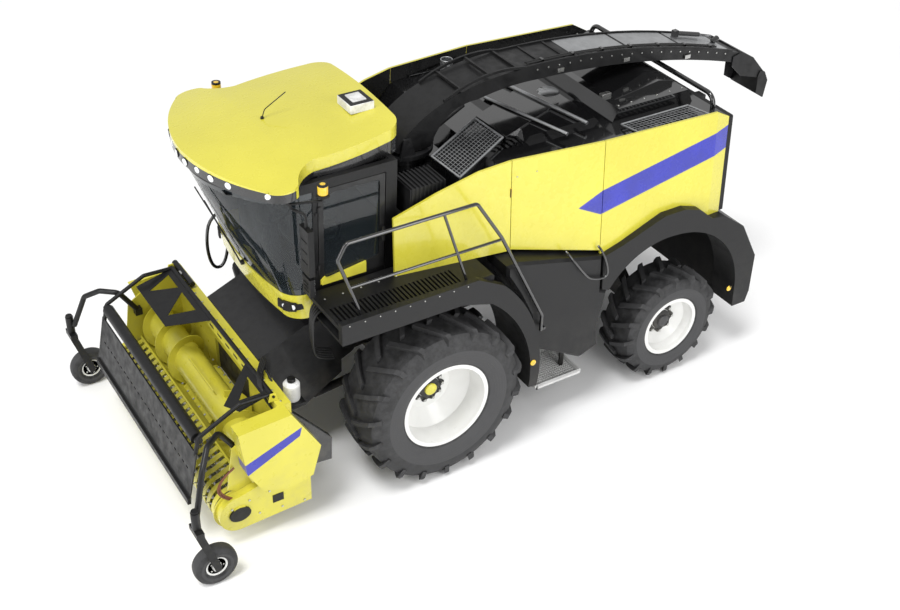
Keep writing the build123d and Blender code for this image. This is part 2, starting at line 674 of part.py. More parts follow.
with BuildPart() as cab_frame:
    with BuildSketch(plan_plane(cab_floor_z)):
        add(front_area(low_curve, cab_rear_y, nose_t + 1))
    extrude(amount=cab_floor_t)
    with BuildSketch(plan_plane(header_z)):
        add(front_area(top_curve, cab_rear_y))
        add(front_area(top_curve, cab_rear_y - ring_t, ring_t), mode=Mode.SUBTRACT)
    extrude(amount=roof_z - header_z)
    floor_top = cab_floor_z + cab_floor_t
    side_post = [(cab_half - pillar, floor_top), (cab_half, floor_top), (cab_x(header_z), header_z),
                 (cab_x(header_z) - pillar, header_z)]
    for y, depth in ((post_rear, post_rear - front_end_y), (cab_rear_y, -(door_rear_y + seam - cab_rear_y))):
        plate(cross_plane(y), side_post, depth)
        plate(cross_plane(y), [(-a, b) for a, b in side_post], depth)
    plate(cross_plane(cab_rear_y), [(-cab_half + pillar, floor_top), (cab_half - pillar, floor_top),
                                    (cab_x(header_z) - pillar, header_z), (pillar - cab_x(header_z), header_z)],
          wall_t)
    plate(cross_plane(cab_rear_y), [(-780, 2920), (780, 2920), (820, 3440), (-820, 3440)], wall_t, 60,
          mode=Mode.SUBTRACT)
    for hand in (1, -1):
        block((hand * (cab_half - pillar / 2) - pillar / 2, post_rear, floor_top),
              (hand * (cab_half - pillar / 2) + pillar / 2, door_rear_y + seam, sill_z))
    for z in hinge_rows:
        disc(door_hinge(z), (lean, 0, 1), hinge_r, hinge_h)
        block((cab_x(z) - 6, post_rear - 30, z + 5), (cab_x(z) + hinge_out, hinge_y, z + hinge_h - 5))
cab_frame.part.label = "cab_frame"
export_step(cab_frame.part, "parts/cab_frame.step")

# Cab nose: the curved band under the windshield.
with BuildPart() as cab_nose:
    with BuildSketch(plan_plane(cab_floor_z)):
        add(front_band(low_curve, nose_t))
    with BuildSketch(plan_plane(nose_top_z)):
        add(front_band(sill_curve, nose_t))
    loft(ruled=True)
cab_nose.part.label = "cab_nose"
export_step(cab_nose.part, "parts/cab_nose.step")

# Fixed glass: the curved windshield, the right side pane and the rear pane.
with BuildPart() as cab_glass:
    with BuildSketch(plan_plane(nose_top_z)):
        add(front_band(sill_curve, glass_t, 8))
    with BuildSketch(plan_plane(header_z)):
        add(front_band(top_curve, glass_t, 8))
    loft(ruled=True)
    plate(cross_plane(door_rear_y + seam),
          [(-cab_x(sill_z) + 20, sill_z), (-cab_x(sill_z) + 20 + glass_t, sill_z),
           (-cab_x(header_z) + 20 + glass_t, header_z), (-cab_x(header_z) + 20, header_z)],
          door_rear_y + seam - post_rear)
    plate(cross_plane(cab_rear_y - wall_t / 2), [(-780, 2920), (780, 2920), (820, 3440), (-820, 3440)],
          glass_t, 60)
cab_glass.part.label = "cab_glass"
export_step(cab_glass.part, "parts/cab_glass.step")

# Cab door: hung on the front post, with a pane in its frame and an apron below the pane.
door_y = (post_rear + seam, door_rear_y)
door_z = (sill_z + seam, header_z - seam)
door_border = 55


def door_slab(thickness, set_in):
    """Slab that leans with the cab side between the door's front and rear edges."""
    low, high = door_z
    face = [(cab_x(low) - set_in - thickness, low), (cab_x(low) - set_in, low),
            (cab_x(high) - set_in, high), (cab_x(high) - set_in - thickness, high)]
    plate(cross_plane(door_y[1]), face, door_y[1] - door_y[0])


def pane_outline(border):
    return [(door_y[0] + border, door_z[0] + border), (door_y[1] - border, door_z[0] + 2.6 * border),
            (door_y[1] - border, door_z[1] - border), (door_y[0] + border, door_z[1] - border)]


with BuildPart() as door_apron:
    door_slab(16, -14)
    plate(side_plane(cab_half - 100), [(-1030, door_z[0]), (-540, door_z[0]), (-540, 2840), (-700, 2740),
                                       (-1030, door_z[0] + 60)], 300, mode=Mode.INTERSECT)
with BuildPart() as cab_door:
    door_slab(door_t, 2)
    add(door_apron.part)
    plate(side_plane(cab_half - 100), pane_outline(door_border), 300, 50, mode=Mode.SUBTRACT)
    block((cab_x(2800) - 2, door_y[1] - 46, 2740), (cab_x(2800) + 36, door_y[1] - 16, 2900))
    for z in [low + hinge_h + seat_gap for low in hinge_rows]:
        disc(door_hinge(z), (lean, 0, 1), hinge_r, hinge_h)
        block((cab_x(z) - 6, hinge_y, z + 5), (cab_x(z) + hinge_out, hinge_y + 35, z + hinge_h - 5))
cab_door.part.label = "cab_door"
export_step(cab_door.part, "parts/cab_door.step")

with BuildPart() as door_glass:
    door_slab(glass_t, door_t / 2)
    plate(side_plane(cab_half - 100), pane_outline(door_border), 300, 50, mode=Mode.INTERSECT)
door_glass.part.label = "door_glass"
export_step(door_glass.part, "parts/door_glass.step")

# Cab roof: a domed cap with lobes over the front corners.
roof_rows = ((-2010, 3735, 120), (-1250, 3835, 120), (-50, 3935, 120))
roof_reach = 1250


def roof_top(x, y):
    """Height of the roof's dome."""
    for (y0, crown0, drop), (y1, crown1, _) in zip(roof_rows, roof_rows[1:]):
        if y0 <= y <= y1:
            radius = (roof_reach ** 2 + drop ** 2) / (2 * drop)
            crown = crown0 + (crown1 - crown0) * (y - y0) / (y1 - y0)
            return crown - radius + (radius ** 2 - x ** 2) ** 0.5
    return roof_z


with BuildPart() as cab_roof:
    for y, crown, drop in roof_rows:
        with BuildSketch(cross_plane(y)):
            with BuildLine():
                Polyline((roof_reach, crown - drop), (roof_reach, roof_z), (-roof_reach, roof_z),
                         (-roof_reach, crown - drop))
                ThreePointArc((-roof_reach, crown - drop), (0, crown), (roof_reach, crown - drop))
            make_face()
    loft(ruled=True)
    with BuildSketch(plan_plane(roof_z - 50)):
        with BuildLine():
            ThreePointArc((0, -2000), (600, -1880), (1060, -1620))
            ThreePointArc((1060, -1620), (1165, -1480), (1110, -1320))
            ThreePointArc((1110, -1320), (950, -1210), (870, -1050))
            ThreePointArc((870, -1050), (885, -640), (840, -260))
            ThreePointArc((840, -260), (780, -120), (640, -60))
            Line((640, -60), (0, -55))
            mirror(about=Plane.YZ)
        make_face()
    extrude(amount=500, mode=Mode.INTERSECT)
cab_roof.part.label = "cab_roof"
export_step(cab_roof.part, "parts/cab_roof.step")

# Seat on its pedestal.
seat_y = -720
with BuildPart() as seat:
    block((-160, seat_y - 160, floor_top), (160, seat_y + 160, floor_top + 300))
    block((-260, seat_y - 260, floor_top + 300), (260, seat_y + 260, floor_top + 430))
    plate(side_plane(-240), [(seat_y + 180, floor_top + 430), (seat_y + 290, floor_top + 430),
                             (seat_y + 370, floor_top + 1080), (seat_y + 280, floor_top + 1080)], 480, 30)
seat.part.label = "seat"
export_step(seat.part, "parts/seat.step")

# Steering column, wheel and the side console.
with BuildPart() as console:
    plate(side_plane(-60), [(-1180, floor_top), (-1040, floor_top), (-1090, floor_top + 640),
                            (-1150, floor_top + 640)], 120)
    with Locations(Location(at(0, -1085, floor_top + 690), (25, 0, 0))):
        Torus(195, 15)
        Box(390, 36, 16)
        Cylinder(32, 110)
    block((-520, -900, floor_top), (-300, -480, floor_top + 560))
    block((-500, -1060, floor_top + 520), (-320, -900, floor_top + 560))
console.part.label = "console"
export_step(console.part, "parts/console.step")

# Mirrors hung from the roof's front corners.
with BuildPart() as mirrors:
    tube([(1075, -1400, roof_z), (1075, -1400, 3480), (1185, -1300, 3440), (1185, -1300, 2760)], 14, 40)
    block((1095, -1330, 2800), (1275, -1270, 3300))
    block((1105, -1325, 2560), (1265, -1275, 2760))
    mirror(about=Plane.YZ)
mirrors.part.label = "mirrors"
export_step(mirrors.part, "parts/mirrors.step")

# Beacons, receiver, antenna and the front lamps.
with BuildPart() as roof_equipment:
    for hand in (1, -1):
        tube([(hand * 1090, -1440, roof_z), (hand * 1090, -1440, 3540), (hand * 1190, -1120, 3540),
              (hand * 1190, -1120, 3600)], 12, 25)
        disc((hand * 1190, -1120, 3590), (0, 0, 1), 62, 22)
        disc((hand * 1190, -1120, 3612), (0, 0, 1), 48, 105)
    antenna_z = roof_top(0, -1136) + seat_gap
    disc((0, -1150, antenna_z), (0, 0, 1), 14, 20)
    tube([(0, -1150, antenna_z + 10), (0, -1120, antenna_z + 90), (20, -900, antenna_z + 230)], 5, 60)
    block((170, -420, roof_top(170, -170) + seat_gap), (440, -170, roof_top(170, -170) + 70))
roof_equipment.part.label = "roof_equipment"
export_step(roof_equipment.part, "parts/roof_equipment.step")

# Feeder house: the covered intake channel, hung on two pins in front of the drum.
feeder_front = wall_y + 30
feeder_rear = -700
feeder_arm_x = 575
eye_gap = 30
with BuildPart() as feeder_house:
    plate(side_plane(-feeder_half),
          [(feeder_front, 700), (feeder_front, beam_z), (-1100, 1765), (-760, 1765), (feeder_rear, 1650),
           (feeder_rear, 1010), (-1150, 730)], 2 * feeder_half, 15)
    for hand in (1, -1):
        plate(side_plane(hand * (feeder_arm_x + 20) - 20),
              [(feeder_rear - 60, 1120), (lift_pivot_y, lift_pivot_z - 80), (lift_pivot_y + 60, lift_pivot_z),
               (lift_pivot_y, lift_pivot_z + 80), (feeder_rear - 60, 1480)], 40)
        disc((hand * (feeder_arm_x + 40), lift_pivot_y, lift_pivot_z), (-hand, 0, 0), lift_pin_r, 115)
        for low in (eye_gap, -eye_gap - ear_t):
            plate(side_plane(hand * ram_x + low), [(ram_eye_y - 60, 740), (ram_eye_y - 30, ram_eye_z - 35),
                                                   (ram_eye_y + 30, ram_eye_z - 35), (ram_eye_y + 60, 740)], ear_t)
feeder_house.part.label = "feeder_house"
export_step(feeder_house.part, "parts/feeder_house.step")

# Lift rams under the feeder, one body of barrels and one of rods.
eye_w = 40
ram_start = at(0, ram_y, ram_z)
ram_run = Vector(0, ram_eye_y - ram_y, ram_eye_z - ram_z)
ram_dir = ram_run.normalized()


def ram_point(x, share):
    return (x, ram_y + ram_run.Y * share, ram_z + ram_run.Z * share)


with BuildPart() as lift_barrels:
    for hand in (1, -1):
        disc((hand * ram_x - eye_w / 2, ram_y, ram_z), (1, 0, 0), 38, eye_w)
        disc((hand * ram_x, ram_y, ram_z), ram_dir, eye_w / 2, 0.1 * ram_run.length)
        disc(ram_point(hand * ram_x, 0.07), ram_dir, ram_r, 0.58 * ram_run.length)
        disc(ram_point(hand * ram_x, 0.14), ram_dir, rod_r + seat_gap, ram_run.length, mode=Mode.SUBTRACT)
        disc((hand * ram_x - eye_w, ram_y, ram_z), (1, 0, 0), pin_r + seat_gap, 2 * eye_w, mode=Mode.SUBTRACT)
lift_barrels.part.label = "lift_barrels"
export_step(lift_barrels.part, "parts/lift_barrels.step")

with BuildPart() as lift_rods:
    for hand in (1, -1):
        disc(ram_point(hand * ram_x, 0.25), ram_dir, rod_r, 0.73 * ram_run.length)
        disc((hand * ram_x - eye_w / 2, ram_eye_y, ram_eye_z), (1, 0, 0), 34, eye_w)
lift_rods.part.label = "lift_rods"
export_step(lift_rods.part, "parts/lift_rods.step")

# Header frame: back wall with the feeder mouth, top beam, side plates, auger trough.
trough_r = auger_r + 30
trough_t = 8
mouth_half = 430
lip = (trough_r * cos(radians(210)), trough_r * sin(radians(210)))
plate_in = header_half - side_plate_t
with BuildPart() as header_frame:
    block((-header_half, wall_y, 560), (header_half, feeder_front, beam_z))
    block((-header_half, wall_y - beam, beam_z - beam), (header_half, wall_y, beam_z))
    block((-mouth_half, wall_y - 1, 700), (mouth_half, feeder_front + 1, 1130), mode=Mode.SUBTRACT)
    with BuildSketch(side_plane(-plate_in)) as trough:
        with BuildLine():
            c = (auger_y, auger_z)
            start = (c[0] + lip[0], c[1] + lip[1])
            ThreePointArc(start, (c[0] + trough_r * cos(radians(240)), c[1] + trough_r * sin(radians(240))),
                          (c[0], c[1] - trough_r))
            Polyline((c[0], c[1] - trough_r), (wall_y, c[1] - trough_r), (wall_y, c[1] - trough_r - trough_t),
                     (c[0], c[1] - trough_r - trough_t))
            outer = trough_r + trough_t
            end = (c[0] + outer * cos(radians(210)), c[1] + outer * sin(radians(210)))
            ThreePointArc((c[0], c[1] - outer),
                          (c[0] + outer * cos(radians(240)), c[1] + outer * sin(radians(240))), end)
            Line(end, start)
        make_face()
    extrude(amount=2 * plate_in)
    block((-plate_in, reel_y + 95, reel_z + 275), (plate_in, reel_y + 115, reel_z + 300))
    block((-plate_in, reel_y + 275, reel_z - 200), (plate_in, reel_y + 335, reel_z - 130))
    with BuildSketch(side_plane(plate_in)) as end_plate:
        with BuildLine():
            Polyline((reel_y, reel_z - band_r - 25), (feeder_front, 400), (feeder_front, beam_z),
                     (wall_y - beam, beam_z), (-2300, 1200), (-2380, 700), (reel_y, reel_z + band_r + 25))
            ThreePointArc((reel_y, reel_z + band_r + 25), (reel_y - band_r - 25, reel_z),
                          (reel_y, reel_z - band_r - 25))
        make_face()
    extrude(amount=side_plate_t)
    extrude(to_extrude=mirror(end_plate.sketch, about=Plane.YZ, mode=Mode.PRIVATE), amount=side_plate_t)
    for hand in (1, -1):
        plate(side_plane(hand * 1300 - 8), [(guard_pivot_y - 50, beam_z), (guard_pivot_y + 50, beam_z),
                                            (guard_pivot_y + 28, guard_pivot_z + 28),
                                            (guard_pivot_y - 28, guard_pivot_z + 28)], 16)
        disc((hand * 1300 - 8, guard_pivot_y, guard_pivot_z), (1, 0, 0), 14 + seat_gap, 16, mode=Mode.SUBTRACT)
header_frame.part.label = "header_frame"
export_step(header_frame.part, "parts/header_frame.step")

# Header shields: the drive noses at both ends, the left hood and the box behind it.
nose_r = band_r
shield_in = header_half
with BuildPart() as header_shields:
    with BuildSketch(side_plane(shield_in)) as nose_face:
        with BuildLine():
            Polyline((reel_y, reel_z - nose_r), (-1520, 250), (-1520, 770), (-1800, 770), (reel_y, reel_z + nose_r))
            ThreePointArc((reel_y, reel_z + nose_r), (reel_y - nose_r, reel_z), (reel_y, reel_z - nose_r))
        make_face()
    extrude(amount=90)
    disc((shield_in + 90, reel_y, reel_z), (1, 0, 0), 95, 15)
    mirror(about=Plane.YZ)
    hood = [(-2290, 1500), (-1730, beam_z), (-1430, 1010), (-1530, 660), (-1800, 600), (-2080, 700), (-2230, 980)]
    plate(side_plane(shield_in), [(-2290, 1500), (-1730, beam_z), (-1430, 1010), (-1505, 770), (-2150, 770),
                                  (-2230, 980)], 90)
    plate(side_plane(shield_in + 90), hood, 90)
    plate(side_plane(-shield_in - 60), [(-2250, 1440), (-1730, 1480), (-1700, 1000), (-2100, 900)], 60)
    plate(side_plane(shield_in - 80), [(feeder_front, 1400), (-1220, 880), (-1230, 600), (feeder_front, 640)], 80)
header_shields.part.label = "header_shields"
export_step(header_shields.part, "parts/header_shields.step")

# Strippers: bands bent round the tine reel with open slots between them.
band_start = -(bands - 1) / 2 * band_pitch
with BuildPart() as pickup_bands:
    with BuildSketch(side_plane(-band_w / 2)) as band_face:
        with BuildLine():
            inner_r, outer_r = band_r, band_r + band_t
            low_a, high_a = radians(-75), radians(100)
            inner_low = (reel_y + inner_r * cos(low_a), reel_z + inner_r * sin(low_a))
            outer_low = (reel_y + outer_r * cos(low_a), reel_z + outer_r * sin(low_a))
            inner_high = (reel_y + inner_r * cos(high_a), reel_z + inner_r * sin(high_a))
            outer_high = (reel_y + outer_r * cos(high_a), reel_z + outer_r * sin(high_a))
            ThreePointArc(inner_low, (reel_y - inner_r, reel_z), inner_high)
            Polyline(inner_high, (reel_y + 95, reel_z + 278), (reel_y + 95, reel_z + 278 + band_t), outer_high)
            ThreePointArc(outer_high, (reel_y - outer_r, reel_z), outer_low)
            Polyline(outer_low, (reel_y + 275, reel_z - 200), (reel_y + 275, reel_z - 200 + band_t), inner_low)
        make_face()
    extrude(amount=band_w)
    one = pickup_bands.part
    add([Location((band_start + k * band_pitch, 0, 0)) * one for k in range(bands)], mode=Mode.REPLACE)
pickup_bands.part.label = "pickup_bands"
export_step(pickup_bands.part, "parts/pickup_bands.step")

# Tine reel: shaft, end discs and bars of spring tines between the strippers.
reel_axis = axle_axis(reel_y, reel_z)
with BuildPart() as tine_bar:
    block((-plate_in + 40, reel_y - 14, reel_z + reel_bar_r - 14), (plate_in - 40, reel_y + 14, reel_z + reel_bar_r + 14))
    with Locations(*[at(band_start + (k + 0.5) * band_pitch, reel_y, reel_z + reel_bar_r) for k in range(bands - 1)]):
        Box(tine_w, tine_w, tine_tip_r - reel_bar_r, align=(Align.CENTER, Align.CENTER, Align.MIN))
with BuildPart() as pickup_reel:
    disc((-plate_in + seat_gap, reel_y, reel_z), (1, 0, 0), 55, 2 * (plate_in - seat_gap))
    for x in (-plate_in + 20, -10, plate_in - 40):
        disc((x, reel_y, reel_z), (1, 0, 0), reel_bar_r + 22, 20)
    add([tine_bar.part.rotate(reel_axis, k * 360 / reel_bars) for k in range(reel_bars)])
pickup_reel.part.label = "pickup_reel"
export_step(pickup_reel.part, "parts/pickup_reel.step")

# Auger: a tube with a flight from each end and paddles in front of the mouth.
flight_run = 920
flight_turns = 2.5
with BuildPart() as auger:
    disc((-plate_in + seat_gap, auger_y, auger_z), (1, 0, 0), auger_tube_r, 2 * (plate_in - seat_gap))
    flight_r = (auger_r + auger_tube_r) / 2 - 4
    for hand in (1, -1):
        start_x = hand * (plate_in - 30)
        with BuildLine() as path:
            Helix(flight_run / flight_turns, flight_run, flight_r, center=at(start_x, auger_y, auger_z),
                  direction=(-hand, 0, 0), lefthand=hand > 0)
        with BuildSketch(Plane(origin=path.line @ 0, x_dir=(-1, 0, 0), z_dir=path.line % 0)) as section:
            Rectangle(flight_t, auger_r - auger_tube_r + 8)
        sweep(sections=section.sketch, path=path.line, is_frenet=True)
    for k in range(3):
        turn = 120 * k + 20
        with Locations(Location(at(0, auger_y, auger_z), (turn, 0, 0))):
            with Locations((0, 0, (auger_r + auger_tube_r) / 2 - 6)):
                Box(700, flight_t, auger_r - auger_tube_r)
auger.part.label = "auger"
export_step(auger.part, "parts/auger.step")

# Crop guard: arms on a pivot tube, side hoods, and the press panel in front.
guard_x = 1262
panel_half = 1300
panel_top = (-2612, 1205)
panel_low = (-2735, 640)
with BuildPart() as crop_guard:
    disc((-1320, guard_pivot_y, guard_pivot_z), (1, 0, 0), 14, 2640)
    disc((-guard_x, guard_pivot_y, guard_pivot_z), (1, 0, 0), 24, 2 * guard_x)
    for hand in (1, -1):
        tube([(hand * guard_x, guard_pivot_y, guard_pivot_z), (hand * guard_x, -2120, 1600),
              (hand * guard_x, roller_y, roller_z + 40), (hand * guard_x, panel_top[0] - 6, panel_top[1] - 30)],
             22, 50)
        disc((hand * (guard_x + 8), roller_y, roller_z), (-hand, 0, 0), 40, 30)
    plate(side_plane(-panel_half), [panel_top, (panel_top[0] - 14, panel_top[1]),
                                    (panel_low[0] - 14, panel_low[1]), panel_low], 2 * panel_half)
    plate(side_plane(-panel_half), [(panel_low[0] + 6, panel_low[1] + 50), (panel_low[0] - 30, panel_low[1] + 50),
                                    (panel_low[0] - 30, panel_low[1] - 30), (panel_low[0] + 6, panel_low[1] - 30)],
          2 * panel_half)
    with Locations(*[at(-1150 + k * 100, (panel_top[0] + panel_low[0]) / 2, 960) for k in range(24)]):
        Box(50, 80, 16, mode=Mode.SUBTRACT)
    hood_plane = Plane(origin=at(0, guard_pivot_y - 20, guard_pivot_z - 6), x_dir=(1, 0, 0), z_dir=(0, -0.243, 0.97))
    plate(hood_plane, [(700, 0), (guard_x, 0), (guard_x, -330), (1080, -420)], 6)
    plate(hood_plane, [(880, -60), (1180, -60), (1120, -270)], 6, mode=Mode.SUBTRACT)
    plate(hood_plane, [(-guard_x, 0), (-150, 0), (-420, -420), (-guard_x, -420)], 6)
    plate(hood_plane, [(-1180, -60), (-900, -60), (-1080, -330)], 6, mode=Mode.SUBTRACT)
    plate(hood_plane, [(-800, -60), (-420, -60), (-560, -330)], 6, mode=Mode.SUBTRACT)
crop_guard.part.label = "crop_guard"
export_step(crop_guard.part, "parts/crop_guard.step")

# Press roller between the guard's arms.
roller_end = guard_x - 22 - seat_gap
with BuildPart() as guard_roller:
    disc((-roller_end, roller_y, roller_z), (1, 0, 0), 20, 2 * roller_end)
    disc((-roller_end + 24, roller_y, roller_z), (1, 0, 0), roller_r, 2 * roller_end - 48)
guard_roller.part.label = "guard_roller"
export_step(guard_roller.part, "parts/guard_roller.step")

# Gauge wheel arms: from the side plates out to the swivel sleeves.
swivel_y = caster_y - caster_trail
sleeve_low, sleeve_high = 770, 980
with BuildPart() as gauge_arms:
    for hand in (1, -1):
        block((hand * (plate_in - 40) - 40, -2250, 1070), (hand * (plate_in - 40) + 40, -2170, 1150))
        tube([(hand * 1345, -2210, 1120), (hand * 1345, -2400, 1420), (hand * 1480, -2570, 1420),
              (hand * 1640, -2700, 1290), (hand * (caster_x - 48), swivel_y + 33, 880)], 30, 80)
        ring((hand * caster_x, swivel_y, sleeve_low), (0, 0, 1), 44, swivel_pin_r + seat_gap, sleeve_high - sleeve_low)
        disc((hand * caster_x, swivel_y, sleeve_low), (0, 0, 1), swivel_pin_r + seat_gap, 400, mode=Mode.SUBTRACT)
gauge_arms.part.label = "gauge_arms"
export_step(gauge_arms.part, "parts/gauge_arms.step")

# Gauge wheels on trailing forks.
fork_in = caster_w / 2 + 8
axle_r = 14
for side, hand in (("left", 1), ("right", -1)):
    with BuildPart() as caster_fork:
        x = hand * caster_x
        disc((x, swivel_y, sleeve_low - 60), (0, 0, 1), swivel_pin_r, sleeve_high - sleeve_low + 80)
        disc((x, swivel_y, sleeve_high + seat_gap), (0, 0, 1), 36, 20)
        block((x - fork_in - 12, swivel_y - 40, sleeve_low - 60), (x + fork_in + 12, swivel_y + 40, sleeve_low - seat_gap))
        for low in (x - fork_in - 12, x + fork_in):
            plate(side_plane(low), [(swivel_y - 40, sleeve_low - 60), (swivel_y + 40, sleeve_low - 60),
                                    (caster_y + 40, caster_r + 20), (caster_y + 25, caster_r - 32),
                                    (caster_y - 25, caster_r - 32), (caster_y - 40, caster_r + 20)], 12)
        disc((x - fork_in, caster_y, caster_r), (1, 0, 0), axle_r, 2 * fork_in)
    caster_fork.part.label = f"caster_fork_{side}"
    export_step(caster_fork.part, f"parts/caster_fork_{side}.step")
    with BuildPart() as caster_wheel:
        half = caster_w / 2
        wheel = Plane(origin=at(x, caster_y, caster_r), x_dir=(1, 0, 0), z_dir=(0, -1, 0))
        with BuildSketch(wheel):
            with BuildLine():
                Polyline((-half + 18, 120), (-half + 24, 112), (-20, 104), (-20, 45), (-half, 45),
                         (-half, axle_r + seat_gap), (half, axle_r + seat_gap), (half, 45), (20, 45), (20, 104),
                         (half - 24, 112), (half - 18, 120))
                ThreePointArc((half - 18, 120), (half, 165), (half - 22, caster_r - 8))
                ThreePointArc((half - 22, caster_r - 8), (0, caster_r), (-half + 22, caster_r - 8))
                ThreePointArc((-half + 22, caster_r - 8), (-half, 165), (-half + 18, 120))
            make_face()
        revolve(axis=axle_axis(caster_y, caster_r))
    caster_wheel.part.label = f"caster_wheel_{side}"
    export_step(caster_wheel.part, f"parts/caster_wheel_{side}.step")

# Turret: the turning ring over the chute, with ears for the spout and its ram.
ring_top = turret_z + seat_gap + turret_t
ear_in = spout_half + 6
spout_ram_y = 725
spout_ram_z = 3228
spout_ear_in = ram_r + 5
with BuildPart() as turret:
    ring((0, spout_y, turret_z + seat_gap), (0, 0, 1), turret_r, chute_r, turret_t)
    for low in (ear_in, -ear_in - 24):
        plate(side_plane(low), [(spout_pivot_y - 90, turret_z + seat_gap), (spout_pivot_y + 110, turret_z + seat_gap),
                                (spout_pivot_y + 40, spout_pivot_z + 40), (spout_pivot_y - 40, spout_pivot_z + 40)],
              24)
        disc((low, spout_pivot_y, spout_pivot_z), (1, 0, 0), 22 + seat_gap, 24, mode=Mode.SUBTRACT)
    for low in (spout_ear_in, -spout_ear_in - ear_t):
        plate(side_plane(low), [(spout_ram_y - 60, turret_z + seat_gap), (spout_ram_y + 30, turret_z + seat_gap),
                                (spout_ram_y + 30, spout_ram_z + 28), (spout_ram_y - 30, spout_ram_z + 28)], ear_t)
    disc((-spout_ear_in - ear_t, spout_ram_y, spout_ram_z), (1, 0, 0), pin_r, 2 * (spout_ear_in + ear_t))
turret.part.label = "turret"
export_step(turret.part, "parts/turret.step")

spout_eye_y = 1330
spout_eye_z = 3550

# Spout: closed elbow, then a channel open below, with pins in the turret's ears.
tip_top = (4850, 3310)
tip_low = (4790, 3200)
open_y = 1450


def spout_outline(inset):
    """Side outline of the spout, drawn in from its top and bottom."""
    with BuildLine() as line:
        top_rows = [((165, 3250), (380, 3460), (690, 3640)), ((690, 3640), (1150, 3770), (1750, 3812)),
                    ((1750, 3812), (3300, 3690), tip_top)]
        low_rows = [(tip_low, (3280, 3545), (1900, 3655)), ((1900, 3655), (1500, 3650), (1160, 3600)),
                    ((1160, 3600), (760, 3460), (600, 3200))]
        for row in top_rows:
            ThreePointArc(*[(y + inset * (0.7 if y < 700 else 0), z - inset) for y, z in row])
        for row in low_rows:
            ThreePointArc(*[(y - inset * (0.7 if y < 700 else 0), z + inset) for y, z in row])
        top_end = (tip_top[0], tip_top[1] - inset)
        low_end = (tip_low[0], tip_low[1] + inset)
        Line(top_end, low_end)
        Polyline((600 - 0.7 * inset, 3200 + inset), (300, 3195), (200, 3220), (165 + 0.7 * inset, 3250 - inset))
    return make_face(line.edges(), mode=Mode.PRIVATE)


with BuildPart() as spout:
    with BuildSketch(side_plane(-spout_half)):
        add(spout_outline(0))
    extrude(amount=2 * spout_half)
    with BuildSketch(side_plane(-spout_half + spout_wall)):
        add(spout_outline(spout_wall))
    extrude(amount=2 * (spout_half - spout_wall), mode=Mode.SUBTRACT)
    plate(side_plane(-spout_half + spout_wall), [(200, 3150), (585, 3150), (585, 3260), (200, 3260)],
          2 * (spout_half - spout_wall), mode=Mode.SUBTRACT)
    plate(side_plane(-spout_half + spout_wall), [(open_y, 3680), (open_y, 3560), (3000, 3480), (4900, 3080),
                                                 (4900, 3220), (3300, 3600), (1900, 3690)],
          2 * (spout_half - spout_wall), mode=Mode.SUBTRACT)
    for hand in (1, -1):
        disc((hand * (spout_half - 1), spout_pivot_y, spout_pivot_z), (hand, 0, 0), 22, 28)
    for low in (eye_gap, -eye_gap - ear_t):
        plate(side_plane(low), [(spout_eye_y - 40, spout_eye_z - 28), (spout_eye_y + 40, spout_eye_z - 28),
                                (spout_eye_y + 80, 3646), (spout_eye_y - 80, 3622)],
              ear_t)
spout.part.label = "spout"
export_step(spout.part, "parts/spout.step")

# Spout ram under the elbow.
spout_ram_run = Vector(0, spout_eye_y - spout_ram_y, spout_eye_z - spout_ram_z)
spout_ram_dir = spout_ram_run.normalized()


def spout_ram_point(share):
    return (0, spout_ram_y + spout_ram_run.Y * share, spout_ram_z + spout_ram_run.Z * share)


with BuildPart() as spout_barrel:
    disc((-eye_w, spout_ram_y, spout_ram_z), (1, 0, 0), 36, 2 * eye_w)
    disc(spout_ram_point(0.04), spout_ram_dir, ram_r, 0.64 * spout_ram_run.length)
    disc(spout_ram_point(0.12), spout_ram_dir, rod_r + seat_gap, spout_ram_run.length, mode=Mode.SUBTRACT)
    disc((-2 * ram_r, spout_ram_y, spout_ram_z), (1, 0, 0), pin_r + seat_gap, 4 * ram_r, mode=Mode.SUBTRACT)
spout_barrel.part.label = "spout_barrel"
export_step(spout_barrel.part, "parts/spout_barrel.step")

with BuildPart() as spout_rod:
    disc(spout_ram_point(0.2), spout_ram_dir, rod_r, 0.79 * spout_ram_run.length)
    disc((-eye_w / 2, spout_eye_y, spout_eye_z), (1, 0, 0), 30, eye_w)
spout_rod.part.label = "spout_rod"
export_step(spout_rod.part, "parts/spout_rod.step")

# Deflector flaps at the spout's tip.
flap_t = 8
flap_gap = 6
flap_in = spout_half + flap_gap
low_flap_y = 5225
low_flap_z = 2975
low_flap_in = flap_in + flap_t + flap_gap
with BuildPart() as flap_upper:
    top_line = [(4868, 3322), (5060, 3215), (5262, 2998)]
    under = [(5170, 2930), (4900, 3010), (4730, 3170), (4730, 3290)]
    for low in (flap_in, -flap_in - flap_t):
        plate(side_plane(low), top_line + under, flap_t)
    plate(side_plane(-flap_in), top_line + [(y - 6, z - flap_t) for y, z in top_line[::-1]], 2 * flap_in)
    for hand in (1, -1):
        disc((hand * (flap_in + flap_t), flap_pivot_y, flap_pivot_z), (-hand, 0, 0), 14,
             flap_t + flap_gap - seat_gap)
        disc((hand * (flap_in + flap_t), low_flap_y, low_flap_z), (hand, 0, 0), 12,
             flap_gap - seat_gap)
flap_upper.part.label = "flap_upper"
export_step(flap_upper.part, "parts/flap_upper.step")

with BuildPart() as flap_lower:
    back_line = [(5283, 2985), (5352, 2860), (5322, 2640)]
    for low in (low_flap_in, -low_flap_in - flap_t):
        plate(side_plane(low), [(5205, 3010)] + back_line + [(5190, 2720), (5180, 2950)], flap_t)
    plate(side_plane(-low_flap_in), back_line + [(y - 8, z - 3) for y, z in back_line[::-1]], 2 * low_flap_in)
flap_lower.part.label = "flap_lower"
export_step(flap_lower.part, "parts/flap_lower.step")
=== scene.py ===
from math import cos, pi, radians, sin

